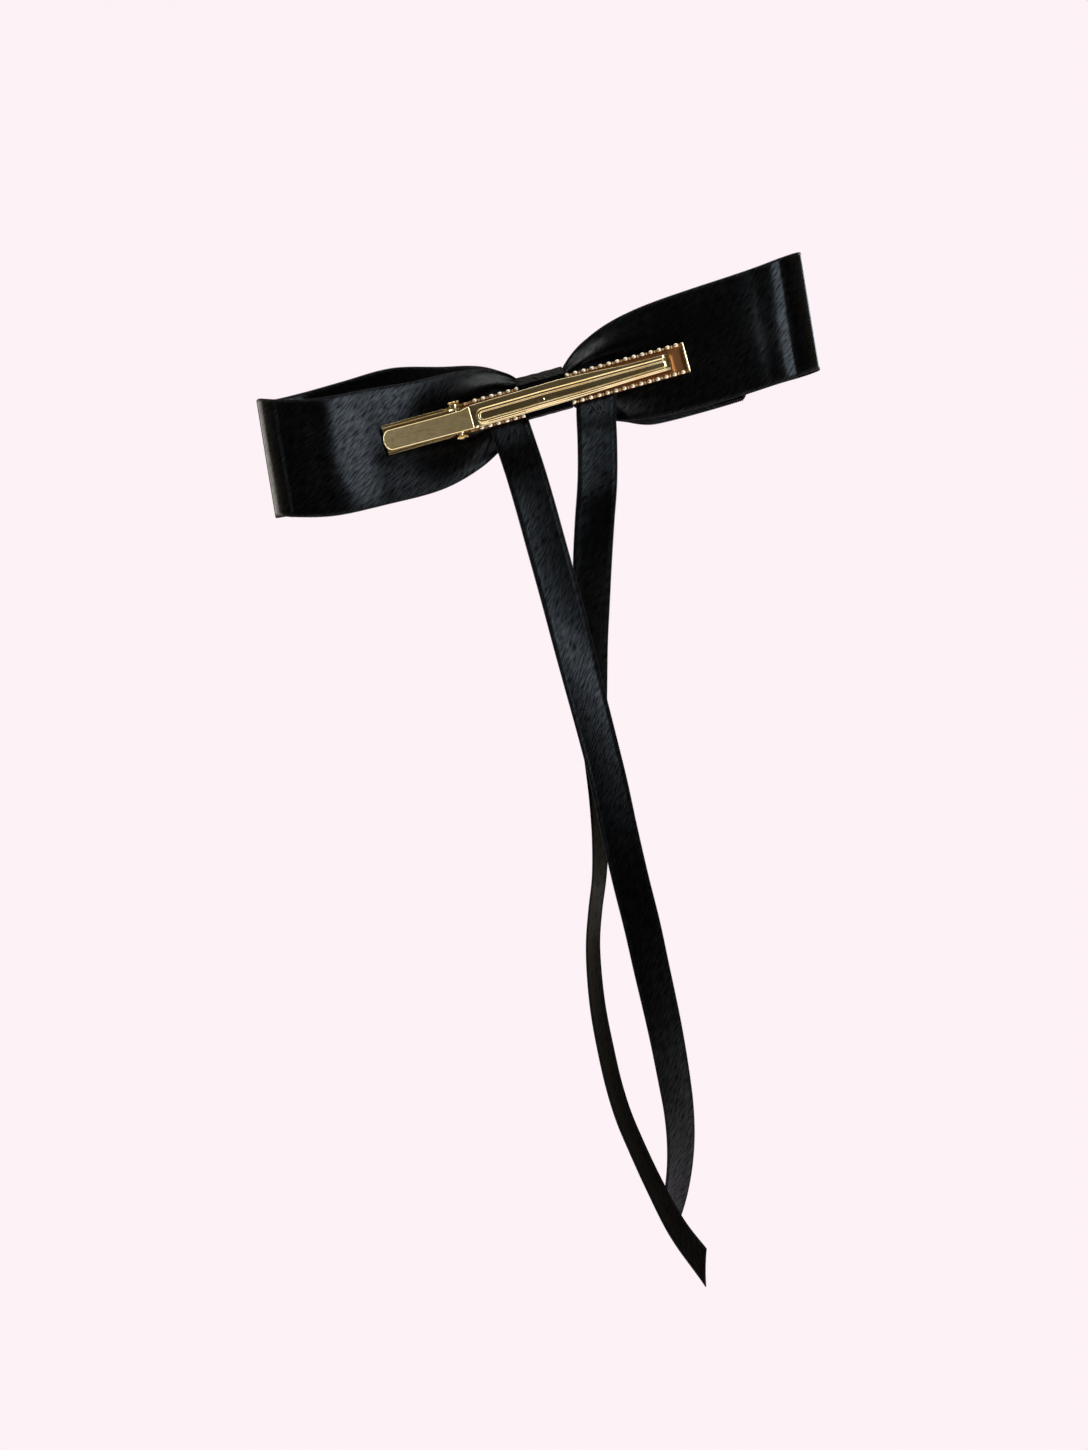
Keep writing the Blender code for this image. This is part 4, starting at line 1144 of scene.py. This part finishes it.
    def ears(self):
        """Two ears that turn down from the plate round the pin."""
        builder = bmesh.new()
        radius, inset, sheet = 1.15 * MM, 0.05 * MM, 0.42 * MM
        slope = math.tan(self.metal.tab_angle)
        top = self.outer_y + 0.2 * MM
        rear, front = PIN_X - radius, PIN_X + radius
        outline = [
            (rear, top - (self.bend_x - rear) * slope), (front, top - (self.bend_x - front) * slope)]
        outline += [tuple(p) for p in arc(PIN_X, PIN_Y, radius, 0.0, math.pi, 20)]
        for side in (-1, 1):
            low, high = sorted((side * (self.half - inset), side * (self.half - inset - sheet)))
            prism(builder, outline, low, high)
        bmesh.ops.recalc_face_normals(builder, faces=builder.faces)
        round_edges(builder, 0.1 * MM, 30.0)
        return mesh_from(builder, "lever_ears")


class HAIRCLIP_OT_pin(bpy.types.Operator):
    """The rivet pin with its two peened heads"""

    bl_idname = "hairclip.pin"
    bl_label = "Hinge Pin"

    def execute(self, context):
        finishes = settings(context)[2]
        top, head, shoulder = PIN_HIGH.z, (PIN_HIGH.x - PIN_LOW.x) / 2, BASE_HIGH.z + 0.1 * MM
        stem = 0.6 * MM
        profile = [(0.0, top - 0.3 * MM), (0.4 * head, top - 0.26 * MM), (0.72 * head, top - 0.1 * MM)]
        profile += [(0.95 * head, top), (1.08 * head, top - 0.1 * MM), (0.86 * head, shoulder + 0.22 * MM)]
        profile += [(stem, shoulder + 0.08 * MM), (stem, shoulder)]
        profile += [(radius, -z) for radius, z in reversed(profile)]
        builder = bmesh.new()
        around = 48
        rings = []
        for radius, z in profile:
            ring = []
            for i in range(around if radius > 0 else 1):
                turn = 2 * math.pi * i / around
                peen = 1 + (0.16 * math.cos(5 * turn + 0.6) if radius > 0.65 * MM else 0.0)
                ring.append(builder.verts.new((
                    PIN_X + radius * peen * math.cos(turn), PIN_Y + radius * peen * math.sin(turn), z)))
            rings.append(ring)
        for upper, lower in zip(rings, rings[1:]):
            for i in range(around):
                j = (i + 1) % around
                corners = [ring[n % len(ring)] for ring, n in (
                    (upper, i), (lower, i), (lower, j), (upper, j))]
                builder.faces.new(list(dict.fromkeys(corners)))
        bmesh.ops.recalc_face_normals(builder, faces=builder.faces)
        pin = mesh_from(builder, "pin_rivet", 50.0)
        gold = metal_material("pin gold", finishes.gold, finishes.deep_gold, (0.12, 0.24), 0.01 * MM)
        fixed_piece(pin, CLIP, gold, "hinge_pin")
        return {"FINISHED"}


class HAIRCLIP_OT_spring(bpy.types.Operator):
    """The bent leaf spring between the two jaws"""

    bl_idname = "hairclip.spring"
    bl_label = "Leaf Spring"

    def execute(self, context):
        finishes = settings(context)[2]
        pale = tuple(0.75 * c for c in finishes.steel)
        steel = metal_material("spring steel", finishes.steel, pale, (0.24, 0.4), 0.006 * MM)
        spring = paint(rounded_copy("spring_leaf", "leaf_spring", 0.05 * MM), steel)
        narrower = Matrix.Diagonal((1.0, 1.0, 0.85, 1.0))
        spring.data.transform(Matrix.Translation((0.0, 0.0, -0.4 * MM)) @ narrower)
        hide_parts("leaf_spring")
        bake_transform(spring)
        return {"FINISHED"}


class HAIRCLIP_OT_glue(bpy.types.Operator):
    """The glue that holds the bow and the tucked ends"""

    bl_idname = "hairclip.glue"
    bl_label = "Glue"

    def execute(self, context):
        finishes = settings(context)[2]
        glue = glue_material("set glue", finishes.glue)
        for name in ("glue_bead", "glue_dab_left", "glue_dab_right"):
            paint(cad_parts[name], glue)
        return {"FINISHED"}


STEPS = (
    HAIRCLIP_OT_stage, HAIRCLIP_OT_tails, HAIRCLIP_OT_bow, HAIRCLIP_OT_wrap, HAIRCLIP_OT_threads,
    HAIRCLIP_OT_base_jaw, HAIRCLIP_OT_lever, HAIRCLIP_OT_pin, HAIRCLIP_OT_spring, HAIRCLIP_OT_glue)


class HAIRCLIP_PT_panel(bpy.types.Panel):
    """Lists the sizes, the finishes and the building steps"""

    bl_idname = "HAIRCLIP_PT_panel"
    bl_label = "Ribbon Bow Hair Clip"
    bl_space_type = "VIEW_3D"
    bl_region_type = "UI"
    bl_category = "Hair Clip"

    def draw(self, context):
        layout = self.layout
        for group in settings(context):
            box = layout.box()
            for prop in group.bl_rna.properties:
                if prop.identifier not in ("rna_type", "name"):
                    box.prop(group, prop.identifier)
        for step in STEPS:
            layout.operator(step.bl_idname)


GROUPS = (
    ("hair_clip_metal", HairClipMetalSizes), ("hair_clip_ribbon", HairClipRibbonSizes),
    ("hair_clip_finishes", HairClipFinishes))


def register():
    for attribute, group in GROUPS:
        bpy.utils.register_class(group)
        setattr(bpy.types.Scene, attribute, bpy.props.PointerProperty(type=group))
    for item in (*STEPS, HAIRCLIP_PT_panel):
        bpy.utils.register_class(item)


def unregister():
    for item in reversed((*STEPS, HAIRCLIP_PT_panel)):
        bpy.utils.unregister_class(item)
    for attribute, group in reversed(GROUPS):
        delattr(bpy.types.Scene, attribute)
        bpy.utils.unregister_class(group)


def main():
    register()
    for step in STEPS:
        category, action = step.bl_idname.split(".")
        getattr(getattr(bpy.ops, category), action)()


if __name__ == "__main__":
    main()
